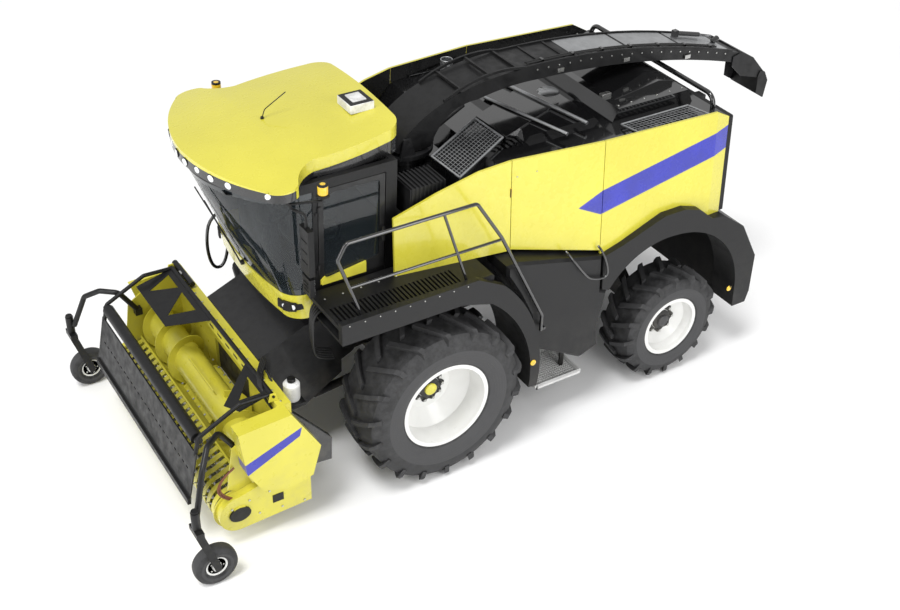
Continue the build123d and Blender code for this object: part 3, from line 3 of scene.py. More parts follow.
import bmesh
import bpy
from bpy.props import FloatProperty, FloatVectorProperty, PointerProperty
from bpy.types import NodeSocket, Operator, Panel, PropertyGroup
from mathutils import Matrix, Vector


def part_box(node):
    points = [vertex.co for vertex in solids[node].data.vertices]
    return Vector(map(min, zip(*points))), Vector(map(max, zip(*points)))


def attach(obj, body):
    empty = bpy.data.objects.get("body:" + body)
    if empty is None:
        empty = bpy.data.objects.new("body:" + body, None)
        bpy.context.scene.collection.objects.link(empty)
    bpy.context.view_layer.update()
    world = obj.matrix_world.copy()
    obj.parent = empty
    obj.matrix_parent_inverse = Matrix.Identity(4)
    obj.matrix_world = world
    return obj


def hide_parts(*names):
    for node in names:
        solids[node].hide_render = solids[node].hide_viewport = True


bl_info = {
    "name": "Forage Harvester",
    "version": (1, 0, 0),
    "blender": (4, 5, 0),
    "location": "View3D > Sidebar > Harvester",
    "description": "Dresses a forage harvester's solids with trim, fittings and finishes, on a studio floor",
    "category": "Add Mesh",
}

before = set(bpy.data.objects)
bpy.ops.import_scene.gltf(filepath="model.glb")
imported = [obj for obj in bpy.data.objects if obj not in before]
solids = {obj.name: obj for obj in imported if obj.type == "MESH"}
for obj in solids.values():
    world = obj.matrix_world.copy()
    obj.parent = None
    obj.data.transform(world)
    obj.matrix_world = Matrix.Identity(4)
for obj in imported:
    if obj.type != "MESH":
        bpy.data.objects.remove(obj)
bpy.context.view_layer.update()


def centre_of(node):
    low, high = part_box(node)
    return (low + high) / 2


axle_y = centre_of("front_rim_left").y
wheelbase = round(centre_of("rear_rim_left").y - axle_y, 3)
hub_heights = {axle: round(centre_of(f"{axle}_rim_left").z, 3) for axle in ("front", "rear")}
hands = {"left": 1, "right": -1}
up = (0, 0, 1)

# Heights and curves that fittings share, in metres from the ground under the front axle
deck_z = 3.224
lamp_z = 3.652
spout_rise = ((0.165, 3.250), (0.690, 3.640), (1.750, 3.812))
spout_crown = ((1.750, 3.812), (3.300, 3.690), (4.850, 3.310))
spout_sole = ((1.900, 3.655), (3.280, 3.545), (4.790, 3.200))


def colour_value(name, note, default):
    return FloatVectorProperty(name=name, description=note, subtype="COLOR", default=default, min=0, max=1)


def length_value(name, note, default, least, most):
    return FloatProperty(name=name, description=note, default=default, min=least, max=most, unit="LENGTH")


def angle_value(name, note, degrees):
    return FloatProperty(name=name, description=note, default=radians(degrees), subtype="ANGLE")


class HarvesterPaints(PropertyGroup):
    """Colours of the machine's finishes."""
    body: colour_value("Body yellow", "Main body colour", (0.67, 0.61, 0.055))
    stripe: colour_value("Stripe blue", "Flash on the rear panels and the shield", (0.012, 0.018, 0.36))
    gloss: colour_value("Deck black", "Gloss black of deck, spout and guard", (0.007, 0.007, 0.0075))
    chassis: colour_value("Chassis black", "Satin black of the frame", (0.013, 0.013, 0.014))
    moulding: colour_value("Moulding black", "Grained plastic of fenders and cladding",
                           (0.010, 0.010, 0.0105))
    rim: colour_value("Rim white", "Wheel rims", (0.78, 0.78, 0.76))
    tyre: colour_value("Tyre black", "Tyre rubber", (0.030, 0.030, 0.031))
    amber: colour_value("Amber", "Beacons and side reflectors", (0.82, 0.52, 0.016))


class HarvesterSizes(PropertyGroup):
    """Sizes that repeat on the fittings."""
    bolt: length_value("Bolt head", "Half the width of a bolt head", 0.011, 0.004, 0.03)
    hose: length_value("Hose", "Hose radius", 0.011, 0.004, 0.03)
    edge: length_value("Edge", "Rounding of pressed edges", 0.003, 0.0005, 0.01)
    mesh_pitch: length_value("Mesh pitch", "Spacing of the mesh guards' bars", 0.05, 0.015, 0.1)


class HarvesterStage(PropertyGroup):
    """Camera, floor and lamps."""
    lens: FloatProperty(name="Lens", description="Camera lens in millimetres", default=51.99, min=20, max=200)
    roll: angle_value("Roll", "Camera roll", 1.815)
    azimuth: angle_value("Azimuth", "Camera direction round the machine", 57.05)
    elevation: angle_value("Elevation", "Camera height angle", 35.52)
    place: FloatVectorProperty(name="Place", description="Camera place, measured from the front axle",
                               subtype="XYZ", default=(10.378, -5.661, 9.683))
    floor_half: FloatProperty(name="Floor", description="Half the floor's width", default=40, unit="LENGTH")
    sun: FloatProperty(name="Sun", description="Strength of the key light", default=1.5, min=0)
    sky: FloatProperty(name="Sky", description="Strength of the world light", default=0.62, min=0)


def paints():
    return bpy.context.scene.harvester_paints


def sizes():
    return bpy.context.scene.harvester_sizes


def at(x, y, z):
    """Point measured from the ground under the front axle."""
    return Vector((x, axle_y + y, z))


# Finishes


def blank(name):
    """Material with a Principled shader and the object's own coordinates."""
    finish = bpy.data.materials.new(name)
    finish.use_nodes = True
    tree = finish.node_tree
    shader = tree.nodes["Principled BSDF"]
    spot = tree.nodes.new("ShaderNodeTexCoord").outputs["Object"]
    return finish, tree, shader, spot


def wire(tree, kind, ins, out=0, **settings):
    """Adds a node, fills its inputs by name or number, and returns one of its outputs."""
    made = tree.nodes.new(kind)
    for key, value in settings.items():
        setattr(made, key, value)
    for key, value in ins.items():
        if isinstance(value, NodeSocket):
            tree.links.new(value, made.inputs[key])
        else:
            made.inputs[key].default_value = value
    return made.outputs[out]


def speckle(tree, spot, scale, detail=3.0, rough=0.55):
    return wire(tree, "ShaderNodeTexNoise",
                {"Vector": spot, "Scale": scale, "Detail": detail, "Roughness": rough})


def spread(tree, value, low, high, start=0.3, end=0.7):
    """Stretches a share between start and end over the range from low to high."""
    return wire(tree, "ShaderNodeMapRange", {"Value": value, "From Min": start, "From Max": end,
                                             "To Min": low, "To Max": high})


def split(tree, vector):
    """The x, y and z of a vector."""
    made = tree.nodes.new("ShaderNodeSeparateXYZ")
    tree.links.new(vector, made.inputs[0])
    return made.outputs


def blend_colours(tree, share, first, second):
    ins = {0: share}
    for key, value in ((6, first), (7, second)):
        ins[key] = value if isinstance(value, NodeSocket) else (*value, 1)
    return wire(tree, "ShaderNodeMix", ins, out=2, data_type="RGBA")


def sums(tree, operation, first, second=0.0):
    return wire(tree, "ShaderNodeMath", {0: first, 1: second}, operation=operation)


def feed(tree, shader, **values):
    """Links values to the shader's sockets, their names written with underscores."""
    for key, value in values.items():
        tree.links.new(value, shader.inputs[key.replace("_", " ")])


def relief(tree, shader, height, distance, strength=1.0):
    feed(tree, shader, Normal=wire(tree, "ShaderNodeBump",
                                   {"Height": height, "Distance": distance, "Strength": strength}))


def shade(colour, factor):
    return tuple(min(1.0, part * factor) for part in colour)


def dust_low(tree, spot, colour, dust, amount, top=1.5):
    """Field dust that thins out with height."""
    falling = spread(tree, split(tree, spot)[2], 1.0, 0.0, 0.1, top)
    patch = spread(tree, speckle(tree, spot, 5.0, 6.0, 0.7), 0.0, 1.0, 0.42, 0.75)
    share = sums(tree, "MULTIPLY", sums(tree, "MULTIPLY", falling, patch), amount)
    return blend_colours(tree, share, colour, dust)


def beyond(tree, parts, y_share, z_share, limit):
    """1 where y_share * y + z_share * z passes a limit, on coordinates from the front axle."""
    moved = limit + y_share * axle_y
    total = sums(tree, "ADD", sums(tree, "MULTIPLY", parts[1], y_share),
                 sums(tree, "MULTIPLY", parts[2], z_share))
    return sums(tree, "GREATER_THAN", total, moved)


def edge_line(start, end):
    """Half plane on the left of a line drawn in the side view from start to end."""
    (y0, z0), (y1, z1) = start, end
    y_share, z_share = -(z1 - z0), y1 - y0
    return y_share, z_share, y_share * y0 + z_share * z0


def inside(tree, spot, outline):
    """1 inside a convex outline in the side view, given anticlockwise."""
    parts = split(tree, spot)
    share = None
    for start, end in zip(outline, outline[1:] + outline[:1]):
        half = beyond(tree, parts, *edge_line(start, end))
        share = half if share is None else sums(tree, "MULTIPLY", share, half)
    return share


def paint(name, colour, rough=0.22, coat=0.8, dust=0.25, flashes=(), lining=False, gleam=0.5):
    """Sprayed paint with colour drift, orange peel and dust low down.

    A flash is an outline in the side view, a colour and a reach across. A lining blackens inner faces.
    """
    finish, tree, shader, spot = blank(name)
    drift = spread(tree, speckle(tree, spot, 1.3, 4.0), 0.0, 1.0)
    base = blend_colours(tree, drift, shade(colour, 0.93), shade(colour, 1.04))
    across = split(tree, spot)[0]
    for outline, flash, (low, high) in flashes:
        share = sums(tree, "MULTIPLY", inside(tree, spot, outline),
                     sums(tree, "GREATER_THAN", across, low))
        share = sums(tree, "MULTIPLY", share, sums(tree, "LESS_THAN", across, high))
        fade = spread(tree, speckle(tree, spot, 2.2, 2.0), 0.0, 1.0)
        base = blend_colours(tree, share, base,
                             blend_colours(tree, fade, shade(flash, 0.8), shade(flash, 1.25)))
    if lining:
        facing = split(tree, wire(tree, "ShaderNodeNewGeometry", {}, out="True Normal"))[0]
        inner = sums(tree, "LESS_THAN", sums(tree, "MULTIPLY", facing, across), -0.2)
        base = blend_colours(tree, inner, base, (0.012, 0.012, 0.012))
    base = dust_low(tree, spot, base, (0.30, 0.27, 0.21), dust)
    feed(tree, shader, Base_Color=base,
         Roughness=spread(tree, speckle(tree, spot, 9.0, 6.0), rough * 0.75, rough * 1.6))
    shader.inputs["Specular IOR Level"].default_value = gleam
    shader.inputs["Coat Weight"].default_value = coat
    shader.inputs["Coat Roughness"].default_value = 0.07
    relief(tree, shader, speckle(tree, spot, 260.0, 2.0), 0.0002, 0.15)
    return finish


def moulded(name, colour, rough=0.5, grain=380.0, dust=0.3):
    """Grained plastic with scuffs and a little dust."""
    finish, tree, shader, spot = blank(name)
    scuff = spread(tree, speckle(tree, spot, 7.0, 8.0, 0.7), 0.0, 1.0, 0.45, 0.7)
    base = blend_colours(tree, scuff, shade(colour, 0.85), shade(colour, 1.45))
    base = dust_low(tree, spot, base, (0.16, 0.15, 0.13), dust)
    feed(tree, shader, Base_Color=base, Roughness=spread(tree, scuff, rough * 0.85, rough * 1.2, 0.0, 1.0))
    shader.inputs["Specular IOR Level"].default_value = 0.32
    grains = wire(tree, "ShaderNodeTexVoronoi", {"Vector": spot, "Scale": grain})
    relief(tree, shader, grains, 0.0006, 0.5)
    return finish


def tyre_rubber(name, hub, rim_r, outer_r):
    """Tyre rubber: rings pressed in the sidewall, worn patches, a paler tread."""
    finish, tree, shader, spot = blank(name)
    moved = wire(tree, "ShaderNodeMapping", {"Vector": spot, "Location": (0, -hub.y, -hub.z)})
    flat = wire(tree, "ShaderNodeVectorMath", {0: moved, 1: (0, 1, 1)}, operation="MULTIPLY")
    reach = wire(tree, "ShaderNodeVectorMath", {0: flat}, out=1, operation="LENGTH")
    wall = sums(tree, "MULTIPLY", sums(tree, "GREATER_THAN", reach, rim_r + 0.02),
                sums(tree, "LESS_THAN", reach, rim_r + 0.45 * (outer_r - rim_r)))
    ring_pitch = 0.030
    rings = sums(tree, "SINE", sums(tree, "MULTIPLY", reach, 2 * pi / ring_pitch))
    rings = sums(tree, "MULTIPLY", sums(tree, "GREATER_THAN", rings, 0.75), wall)
    patch = spread(tree, speckle(tree, spot, 11.0, 8.0, 0.7), 0.0, 1.0, 0.4, 0.7)
    colour = tuple(paints().tyre)
    base = blend_colours(tree, patch, shade(colour, 0.7), shade(colour, 1.9))
    base = blend_colours(tree, sums(tree, "MULTIPLY", wall, 0.6), base, shade(colour, 2.3))
    tread = spread(tree, reach, 0.0, 0.5, outer_r * 0.94, outer_r)
    base = blend_colours(tree, tread, base, shade(colour, 1.9))
    feed(tree, shader, Base_Color=base, Roughness=spread(tree, patch, 0.55, 0.8, 0.0, 1.0))
    shader.inputs["Specular IOR Level"].default_value = 0.35
    height = sums(tree, "ADD", rings, sums(tree, "MULTIPLY", speckle(tree, spot, 160.0, 4.0), 0.25))
    relief(tree, shader, height, 0.003, 0.6)
    return finish


def metal(name, colour, rough=0.35, along=(1.0, 1.0, 30.0), metallic=1.0):
    """Drawn or plated metal with fine lines along one way."""
    finish, tree, shader, spot = blank(name)
    stretched = wire(tree, "ShaderNodeMapping", {"Vector": spot, "Scale": along})
    lines = speckle(tree, stretched, 40.0, 5.0)
    stain = spread(tree, speckle(tree, spot, 6.0, 6.0, 0.7), 0.0, 1.0, 0.4, 0.75)
    feed(tree, shader, Base_Color=blend_colours(tree, stain, colour, shade(colour, 0.72)),
         Roughness=spread(tree, lines, rough * 0.8, rough * 1.3))
    shader.inputs["Metallic"].default_value = metallic
    relief(tree, shader, lines, 0.0004, 0.4)
    return finish


def cast(name, colour):
    """Sand-cast iron under thin paint."""
    finish, tree, shader, spot = blank(name)
    pits = speckle(tree, spot, 120.0, 8.0, 0.75)
    base = blend_colours(tree, spread(tree, pits, 0.0, 1.0), shade(colour, 0.7), shade(colour, 1.4))
    feed(tree, shader, Base_Color=dust_low(tree, spot, base, (0.17, 0.15, 0.12), 0.5, 1.2),
         Roughness=spread(tree, pits, 0.5, 0.75))
    relief(tree, shader, pits, 0.0015, 0.6)
    return finish


def tinted_glass(name, colour=(0.02, 0.026, 0.03), clear=0.52, border=None):
    """Tinted pane with a faint wiped haze, and an opaque border where it is bonded."""
    finish, tree, shader, spot = blank(name)
    haze = spread(tree, speckle(tree, spot, 3.0, 5.0), 0.015, 0.05)
    tint = spread(tree, speckle(tree, spot, 1.1, 2.0), 0.0, 1.0)
    feed(tree, shader, Roughness=haze,
         Base_Color=blend_colours(tree, tint, shade(colour, 0.8), shade(colour, 1.3)))
    shader.inputs["Specular IOR Level"].default_value = 0.75
    if border:
        height = split(tree, spot)[2]
        edge = sums(tree, "MAXIMUM", sums(tree, "LESS_THAN", height, border[0]),
                    sums(tree, "GREATER_THAN", height, border[1]))
        feed(tree, shader, Alpha=spread(tree, edge, clear, 0.98, 0.0, 1.0))
    else:
        shader.inputs["Alpha"].default_value = clear
    return finish


def lens(name, colour, ribs=160.0, glow=0.0):
    """Ribbed lamp lens."""
    finish, tree, shader, spot = blank(name)
    lines = wire(tree, "ShaderNodeTexWave", {"Vector": spot, "Scale": ribs, "Distortion": 0.0}, out=1,
                 bands_direction="X")
    feed(tree, shader, Base_Color=blend_colours(tree, lines, shade(colour, 0.75), shade(colour, 1.15)))
    shader.inputs["Roughness"].default_value = 0.12
    shader.inputs["Coat Weight"].default_value = 1.0
    if glow:
        shader.inputs["Emission Color"].default_value = (*colour, 1)
        shader.inputs["Emission Strength"].default_value = glow
    relief(tree, shader, lines, 0.001, 0.5)
    return finish


def woven(name, colour):
    """Woven seat cloth with a sheen."""
    finish, tree, shader, spot = blank(name)
    thread_scale = 210.0
    warp, weft = (wire(tree, "ShaderNodeTexWave", {"Vector": spot, "Scale": thread_scale}, out=1,
                       bands_direction=way) for way in "XZ")
    threads = sums(tree, "MULTIPLY", warp, weft)
    feed(tree, shader, Base_Color=blend_colours(tree, threads, shade(colour, 0.6), shade(colour, 1.6)))
    shader.inputs["Roughness"].default_value = 0.9
    shader.inputs["Sheen Weight"].default_value = 0.4
    relief(tree, shader, threads, 0.001, 0.7)
    return finish


def hose_rubber(name, colour):
    """Wrapped hose with a fine spiral."""
    finish, tree, shader, spot = blank(name)
    wrap = wire(tree, "ShaderNodeTexWave", {"Vector": spot, "Scale": 90.0, "Distortion": 1.0}, out=1,
                bands_direction="DIAGONAL")
    feed(tree, shader, Base_Color=blend_colours(tree, wrap, shade(colour, 0.7), shade(colour, 1.3)),
         Roughness=spread(tree, wrap, 0.45, 0.6, 0.0, 1.0))
    relief(tree, shader, wrap, 0.0008, 0.5)
    return finish


finishes = {}


def mix_finishes():
    """Makes every finish once."""
    look = paints()
    body, stripe, gloss, chassis, moulding = (
        tuple(colour) for colour in (look.body, look.stripe, look.gloss, look.chassis, look.moulding))
    cab_black = shade(moulding, 0.9)

    # Outlines of the flashes in the side view, and their reach across
    whole, left_shield, left_door, inner = (-2.0, 2.0), (1.3, 2.0), (0.90, 2.0), (-1.4015, 1.4015)
    panel_flash = [(1.742, 2.684), (2.013, 2.555), (3.80, 2.860), (3.80, 3.133), (2.024, 2.829)]
    shield_flash = [(-2.302, 1.082), (-2.249, 0.953), (-1.655, 1.229), (-1.629, 1.333)]
    drive_box = [(-1.652, 0.5), (-1.1, 0.5), (-1.1, 1.5), (-1.652, 1.5)]
    roof_band = [(-2.2, 3.5), (-1.36, 3.5), (-1.36, 3.69), (-2.2, 3.695)]
    roof_skirt = [(-1.30, 3.5), (0.2, 3.5), (0.2, 3.785), (-1.30, 3.64)]
    door_apron = [(-1.04, 2.40), (-0.535, 2.40), (-0.535, 2.85), (-0.70, 2.75), (-1.04, 2.47)]
    finishes.update({
        "body": paint("body_yellow_paint", body, 0.24, 0.7),
        "roof": paint("roof_paint", body, 0.24, 0.7, 0.0,
                      [(roof_band, gloss, whole), (roof_skirt, gloss, whole)]),
        "body_flash": paint("panel_paint_with_flash", body, 0.24, 0.7, 0.2,
                            [(panel_flash, stripe, whole)], True),
        "body_lined": paint("front_panel_paint", body, 0.24, 0.7, 0.2, (), True),
        "shield": paint("shield_paint_with_flash", body, 0.3, 0.6, 0.3,
                        [(shield_flash, stripe, left_shield), (drive_box, chassis, inner)]),
        "header": paint("header_yellow_paint", body, 0.32, 0.4, 0.4),
        "gloss": paint("deck_black_paint", gloss, 0.10, 1.0, 0.0, gleam=0.6),
        "spout": paint("spout_black_paint", gloss, 0.42, 0.12, 0.0, gleam=0.35),
        "guard": paint("guard_black_paint", gloss, 0.4, 0.1, 0.03, gleam=0.3),
        "chassis": paint("chassis_black_paint", chassis, 0.45, 0.15, 0.35, gleam=0.4),
        "moulding": moulded("cladding_black", moulding),
        "cab": moulded("cab_black_moulding", cab_black, 0.4, 500.0, 0.1),
        "cab_door": paint("cab_door_paint", cab_black, 0.4, 0.3, 0.0, [(door_apron, body, left_door)],
                          gleam=0.4),
        "rim": paint("rim_white_paint", tuple(look.rim), 0.34, 0.4, 0.12),
        "hub": cast("hub_casting", (0.05, 0.05, 0.053)),
        "engine": cast("engine_casting", (0.10, 0.105, 0.11)),
        "glass": tinted_glass("cab_glass_tint", border=(2.42, 3.43)),
        "door_glass": tinted_glass("door_glass_tint"),
        "silver": metal("silver_panel", (0.55, 0.56, 0.57), 0.38, (1.0, 20.0, 1.0)),
        "tread": metal("tread_zinc", (0.66, 0.66, 0.65), 0.5, (1, 1, 1), 0.1),
        "zinc": metal("zinc_fasteners", (0.60, 0.60, 0.58), 0.3),
        "chrome": metal("piston_chrome", (0.82, 0.82, 0.84), 0.12, (1.0, 25.0, 1.0)),
        "steel": metal("tine_steel", (0.36, 0.36, 0.37), 0.36),
        "mirror": metal("mirror_silver", (0.85, 0.87, 0.88), 0.03, (1, 1, 1)),
        # The amber lens glows: lamp light on the beacons and tail lamps, painted glow on the side reflectors
        "amber": lens("amber_lens_with_painted_glow_on_reflectors", tuple(look.amber), glow=0.1),
        "red": lens("red_lens", (0.55, 0.01, 0.01)),
        "white_lens": lens("clear_lens", (0.82, 0.84, 0.85), 120.0, 0.2),
        "white": moulded("white_plastic", (0.72, 0.72, 0.70), 0.35, 600.0, 0.0),
        "cloth": woven("seat_cloth", (0.045, 0.05, 0.07)),
        "hose": hose_rubber("hose_black", (0.012, 0.012, 0.012)),
        "hose_brown": hose_rubber("hose_brown", (0.16, 0.05, 0.02)),
        "rubber": moulded("seal_rubber", (0.010, 0.010, 0.010), 0.7, 300.0, 0.1),
    })
    for side in hands:
        for axle, rim_r in (("front", 0.511), ("rear", 0.377)):
            tyre = f"{axle}_tyre_{side}"
            low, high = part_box(tyre)
            finishes[tyre] = tyre_rubber(f"{axle}_tyre_rubber_{side}", centre_of(tyre), rim_r,
                                         (high.z - low.z) / 2)
        wheel = f"caster_wheel_{side}"
        finishes[wheel] = tyre_rubber(f"gauge_tyre_rubber_{side}", centre_of(wheel), 0.12, 0.227)


solid_finish = {
    "body": ("cab_nose",),
    "roof": ("cab_roof",),
    "cab_door": ("cab_door",),
    "body_flash": ("rear_side_panels", "side_door_left", "side_door_right"),
    "body_lined": ("front_side_panels",),
    "shield": ("header_shields",),
    "header": ("header_frame", "pickup_bands", "auger"),
    "gloss": ("engine_deck", "handrails", "spout_cradle"),
    "spout": ("spout", "flap_upper", "flap_lower"),
    "guard": ("crop_guard", "guard_roller", "gauge_arms", "caster_fork_left", "caster_fork_right"),
    "chassis": ("chassis_frame", "front_axle", "rear_axle", "crop_unit", "feeder_house", "knuckle_left",
                "knuckle_right", "turret", "lift_barrels", "spout_barrel"),
    "moulding": ("front_fenders", "rear_fenders", "rear_bumper", "side_fairings", "platform", "rear_grille"),
    "cab": ("cab_frame", "console", "mirrors", "roof_equipment"),
    "glass": ("cab_glass",),
    "door_glass": ("door_glass",),
    "rim": ("front_rim_left", "front_rim_right", "rear_rim_left", "rear_rim_right"),
    "chrome": ("lift_rods", "spout_rod", "tie_rod"),
    "steel": ("pickup_reel",),
    "engine": ("engine",),
    "cloth": ("seat",),
}


# Modelling


def pour(bm, mesh, m):
    """Adds a mesh's faces with one material number."""
    start = len(bm.faces)
    bm.from_mesh(mesh)
    bm.faces.ensure_lookup_table()
    for face in bm.faces[start:]:
        face.material_index = m
    bpy.data.meshes.remove(mesh)


def colour_faces(verts, m):
    for vert in verts:
        for face in vert.link_faces:
            face.material_index = m


def add_box(bm, corner, opposite, m=0):
    """Box between any two opposite corners."""
    low, high = (at(*point) for point in zip(*(sorted(pair) for pair in zip(corner, opposite))))
    made = bmesh.ops.create_cube(bm, size=1, matrix=Matrix.Translation((low + high) / 2) @
                                 Matrix.Diagonal((*(high - low), 1)))["verts"]
    colour_faces(made, m)


def add_bar(bm, start, end, radius, m=0, sides=16):
    start, end = at(*start), at(*end)
    run = end - start
    place = Matrix.Translation((start + end) / 2) @ run.to_track_quat("Z", "Y").to_matrix().to_4x4()
    made = bmesh.ops.create_cone(bm, cap_ends=True, cap_tris=False, segments=sides, radius1=radius,
                                 radius2=radius, depth=run.length, matrix=place)
    colour_faces(made["verts"], m)


def on_plane(axis, u, v, depth):
    return {"x": at(depth, u, v), "y": at(u, depth, v), "z": at(u, v, depth)}[axis]


def add_plate(bm, axis, outline, low, high, m=0):
    """Flat plate with an outline drawn square to an axis."""
    face = bm.faces.new([bm.verts.new(on_plane(axis, u, v, low)) for u, v in outline])
    face.material_index = m
    made = bmesh.ops.extrude_face_region(bm, geom=[face])["geom"]
    tops = [part for part in made if isinstance(part, bmesh.types.BMVert)]
    bmesh.ops.translate(bm, verts=tops, vec=on_plane(axis, 0, 0, high) - on_plane(axis, 0, 0, low))


def add_turned(bm, profile, centre, direction, m=0, steps=32, closed=True):
    """Turned form from (along, radius) points, closed to the axis at both ends unless it is a band."""
    part = bmesh.new()
    whole = [(profile[0][0], 0), *profile, (profile[-1][0], 0)] if closed else profile
    verts = [part.verts.new((radius, 0, along)) for along, radius in whole]
    edges = [part.edges.new(pair) for pair in zip(verts, verts[1:])]
    bmesh.ops.spin(part, geom=verts + edges, cent=(0, 0, 0), axis=(0, 0, 1), dvec=(0, 0, 0), angle=2 * pi,
                   steps=steps, use_merge=True, use_duplicate=False)
    bmesh.ops.remove_doubles(part, verts=part.verts, dist=1e-5)
    place = Matrix.Translation(at(*centre)) @ Vector(direction).to_track_quat("Z", "Y").to_matrix().to_4x4()
    bmesh.ops.transform(part, matrix=place, verts=part.verts)
    mesh = bpy.data.meshes.new("turned")
    part.to_mesh(mesh)
    part.free()
    pour(bm, mesh, m)


def add_tube(bm, points, radius, m=0, rounds=3):
    """Tube or hose along a smooth line near its points."""
    line = bpy.data.curves.new("tube_line", "CURVE")
    line.dimensions = "3D"
    line.bevel_depth, line.bevel_resolution, line.use_fill_caps = radius, rounds, True
    run = line.splines.new("NURBS")
    run.points.add(len(points) - 1)
    for spot, point in zip(run.points, points):
        spot.co = (*at(*point), 1)
    run.order_u, run.use_endpoint_u, run.resolution_u = 3, True, 5
    holder = bpy.data.objects.new("tube_line", line)
    mesh = bpy.data.meshes.new_from_object(holder)
    bpy.data.objects.remove(holder)
    bpy.data.curves.remove(line)
    pour(bm, mesh, m)


def add_bolts(bm, spots, direction, m, size=None):
    """Hexagon heads standing on their spots."""
    size = size or sizes().bolt
    for spot in spots:
        end = [a + b * size * 0.8 for a, b in zip(spot, direction)]
        add_bar(bm, spot, end, size, m, 6)


def add_mesh_panel(bm, corner, across, along, bar, pitch=None):
    """Woven bars in a framed parallelogram."""
    pitch = pitch or sizes().mesh_pitch
    corner, across, along = Vector(corner), Vector(across), Vector(along)
    for step, other in ((across, along), (along, across)):
        count = max(2, int(step.length / pitch + 0.001))
        for k in range(count + 1):
            start = corner + step * (k / count)
            thick = 4 * bar if k in (0, count) else bar
            add_bar(bm, start, start + other, thick, 0, 6)


def row(low, high, count):
    """Evenly spaced values from low to high."""
    return [low + (high - low) * k / (count - 1) for k in range(count)]


def finish_piece(bm, name, body, looks, replaces=(), soft=None):
    """Turns a bmesh into an object that rides on a body, its edges rounded by soft or the shared size."""
    bmesh.ops.recalc_face_normals(bm, faces=bm.faces)
    mesh = bpy.data.meshes.new(name)
    bm.to_mesh(mesh)
    bm.free()
    for look in looks:
        mesh.materials.append(finishes[look])
    mesh.shade_smooth()
    mesh.set_sharp_from_angle(angle=radians(38))
    piece = bpy.data.objects.new(name, mesh)
    bpy.context.scene.collection.objects.link(piece)
    width = sizes().edge if soft is None else soft
    if width:
        edge = piece.modifiers.new("soft_edges", "BEVEL")
        edge.width, edge.segments, edge.limit_method, edge.angle_limit = width, 2, "ANGLE", radians(42)
        edge.use_clamp_overlap = True
    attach(piece, body)
    if replaces:
        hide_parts(*replaces)
    return piece


def arc_height(points, y):
    """Height of the flat arc through three (y, z) points."""
    (a, za), (b, zb), (c, zc) = points
    return (za * (y - b) * (y - c) / ((a - b) * (a - c)) + zb * (y - a) * (y - c) / ((b - a) * (b - c))
            + zc * (y - a) * (y - b) / ((c - a) * (c - b)))


def spout_middle(y):
    """Height half way between the spout's top and bottom."""
    return (arc_height(spout_crown, y) + arc_height(spout_sole, y)) / 2


def spout_strip(bm, arc, start, end, count, drop, lift, reach, m):
    """Plates side by side along an arc of the spout, from one reach across to the other."""
    line = [(y, arc_height(arc, y)) for y in row(start, end, count)]
    for (y0, z0), (y1, z1) in zip(line, line[1:]):
        outline = [(y0, z0 - drop), (y1, z1 - drop), (y1, z1 + lift), (y0, z0 + lift)]
        add_plate(bm, "x", outline, *reach, m)


class HARVESTER_OT_dress(Operator):
    """Gives every solid its finish"""
    bl_idname = "harvester.dress"
    bl_label = "Finishes"

    def execute(self, context):
        mix_finishes()
        wanted = {node: look for look, nodes in solid_finish.items() for node in nodes}
        wanted.update({node: node for node in solids if node in finishes})
        for node, piece in solids.items():
            piece.data.materials.clear()
            piece.data.materials.append(finishes[wanted[node]])
        return {"FINISHED"}


class HARVESTER_OT_wheels(Operator):
    """Adds lobed hub rings, caps, nuts and valves to the wheels"""
    bl_idname = "harvester.wheels"
    bl_label = "Wheel hubs"

    def execute(self, context):
        for axle, y, face, studs, valve, cap in (("front", 0.0, 1.265, 10, 0.36, "body"),
                                                 ("rear", wheelbase, 1.270, 8, 0.27, "hub")):
            z = hub_heights[axle]
            for side, hand in hands.items():
                bm = bmesh.new()
                lobes = [(0.178 + 0.016 * cos(studs * turn), turn) for turn in row(0, 2 * pi, 121)[:-1]]
                add_plate(bm, "x", [(y + reach * cos(turn), z + reach * sin(turn)) for reach, turn in lobes],
                          hand * face, hand * (face + 0.012), 0)
                add_turned(bm, [(0, 0.126), (0.034, 0.12), (0.046, 0.096)],
                           (hand * face, y, z), (hand, 0, 0), 0, 36)
                add_turned(bm, [(0, 0.07), (0.022, 0.07), (0.034, 0.052)],
                           (hand * (face + 0.046), y, z), (hand, 0, 0), 1, 28)
                for turn in (2 * pi * k / studs for k in range(studs)):
                    spot = (hand * (face + 0.01), y + 0.16 * cos(turn), z + 0.16 * sin(turn))
                    add_bar(bm, spot, (spot[0] + hand * 0.03, *spot[1:]), 0.0175, 2, 6)
                add_bar(bm, (hand * face, y, z + valve), (hand * (face + 0.05), y, z + valve + 0.02),
                        0.006, 2, 8)
                finish_piece(bm, f"{axle}_hub_{side}", f"{axle}_wheel_{side}", ["chassis", cap, "zinc"])
        return {"FINISHED"}


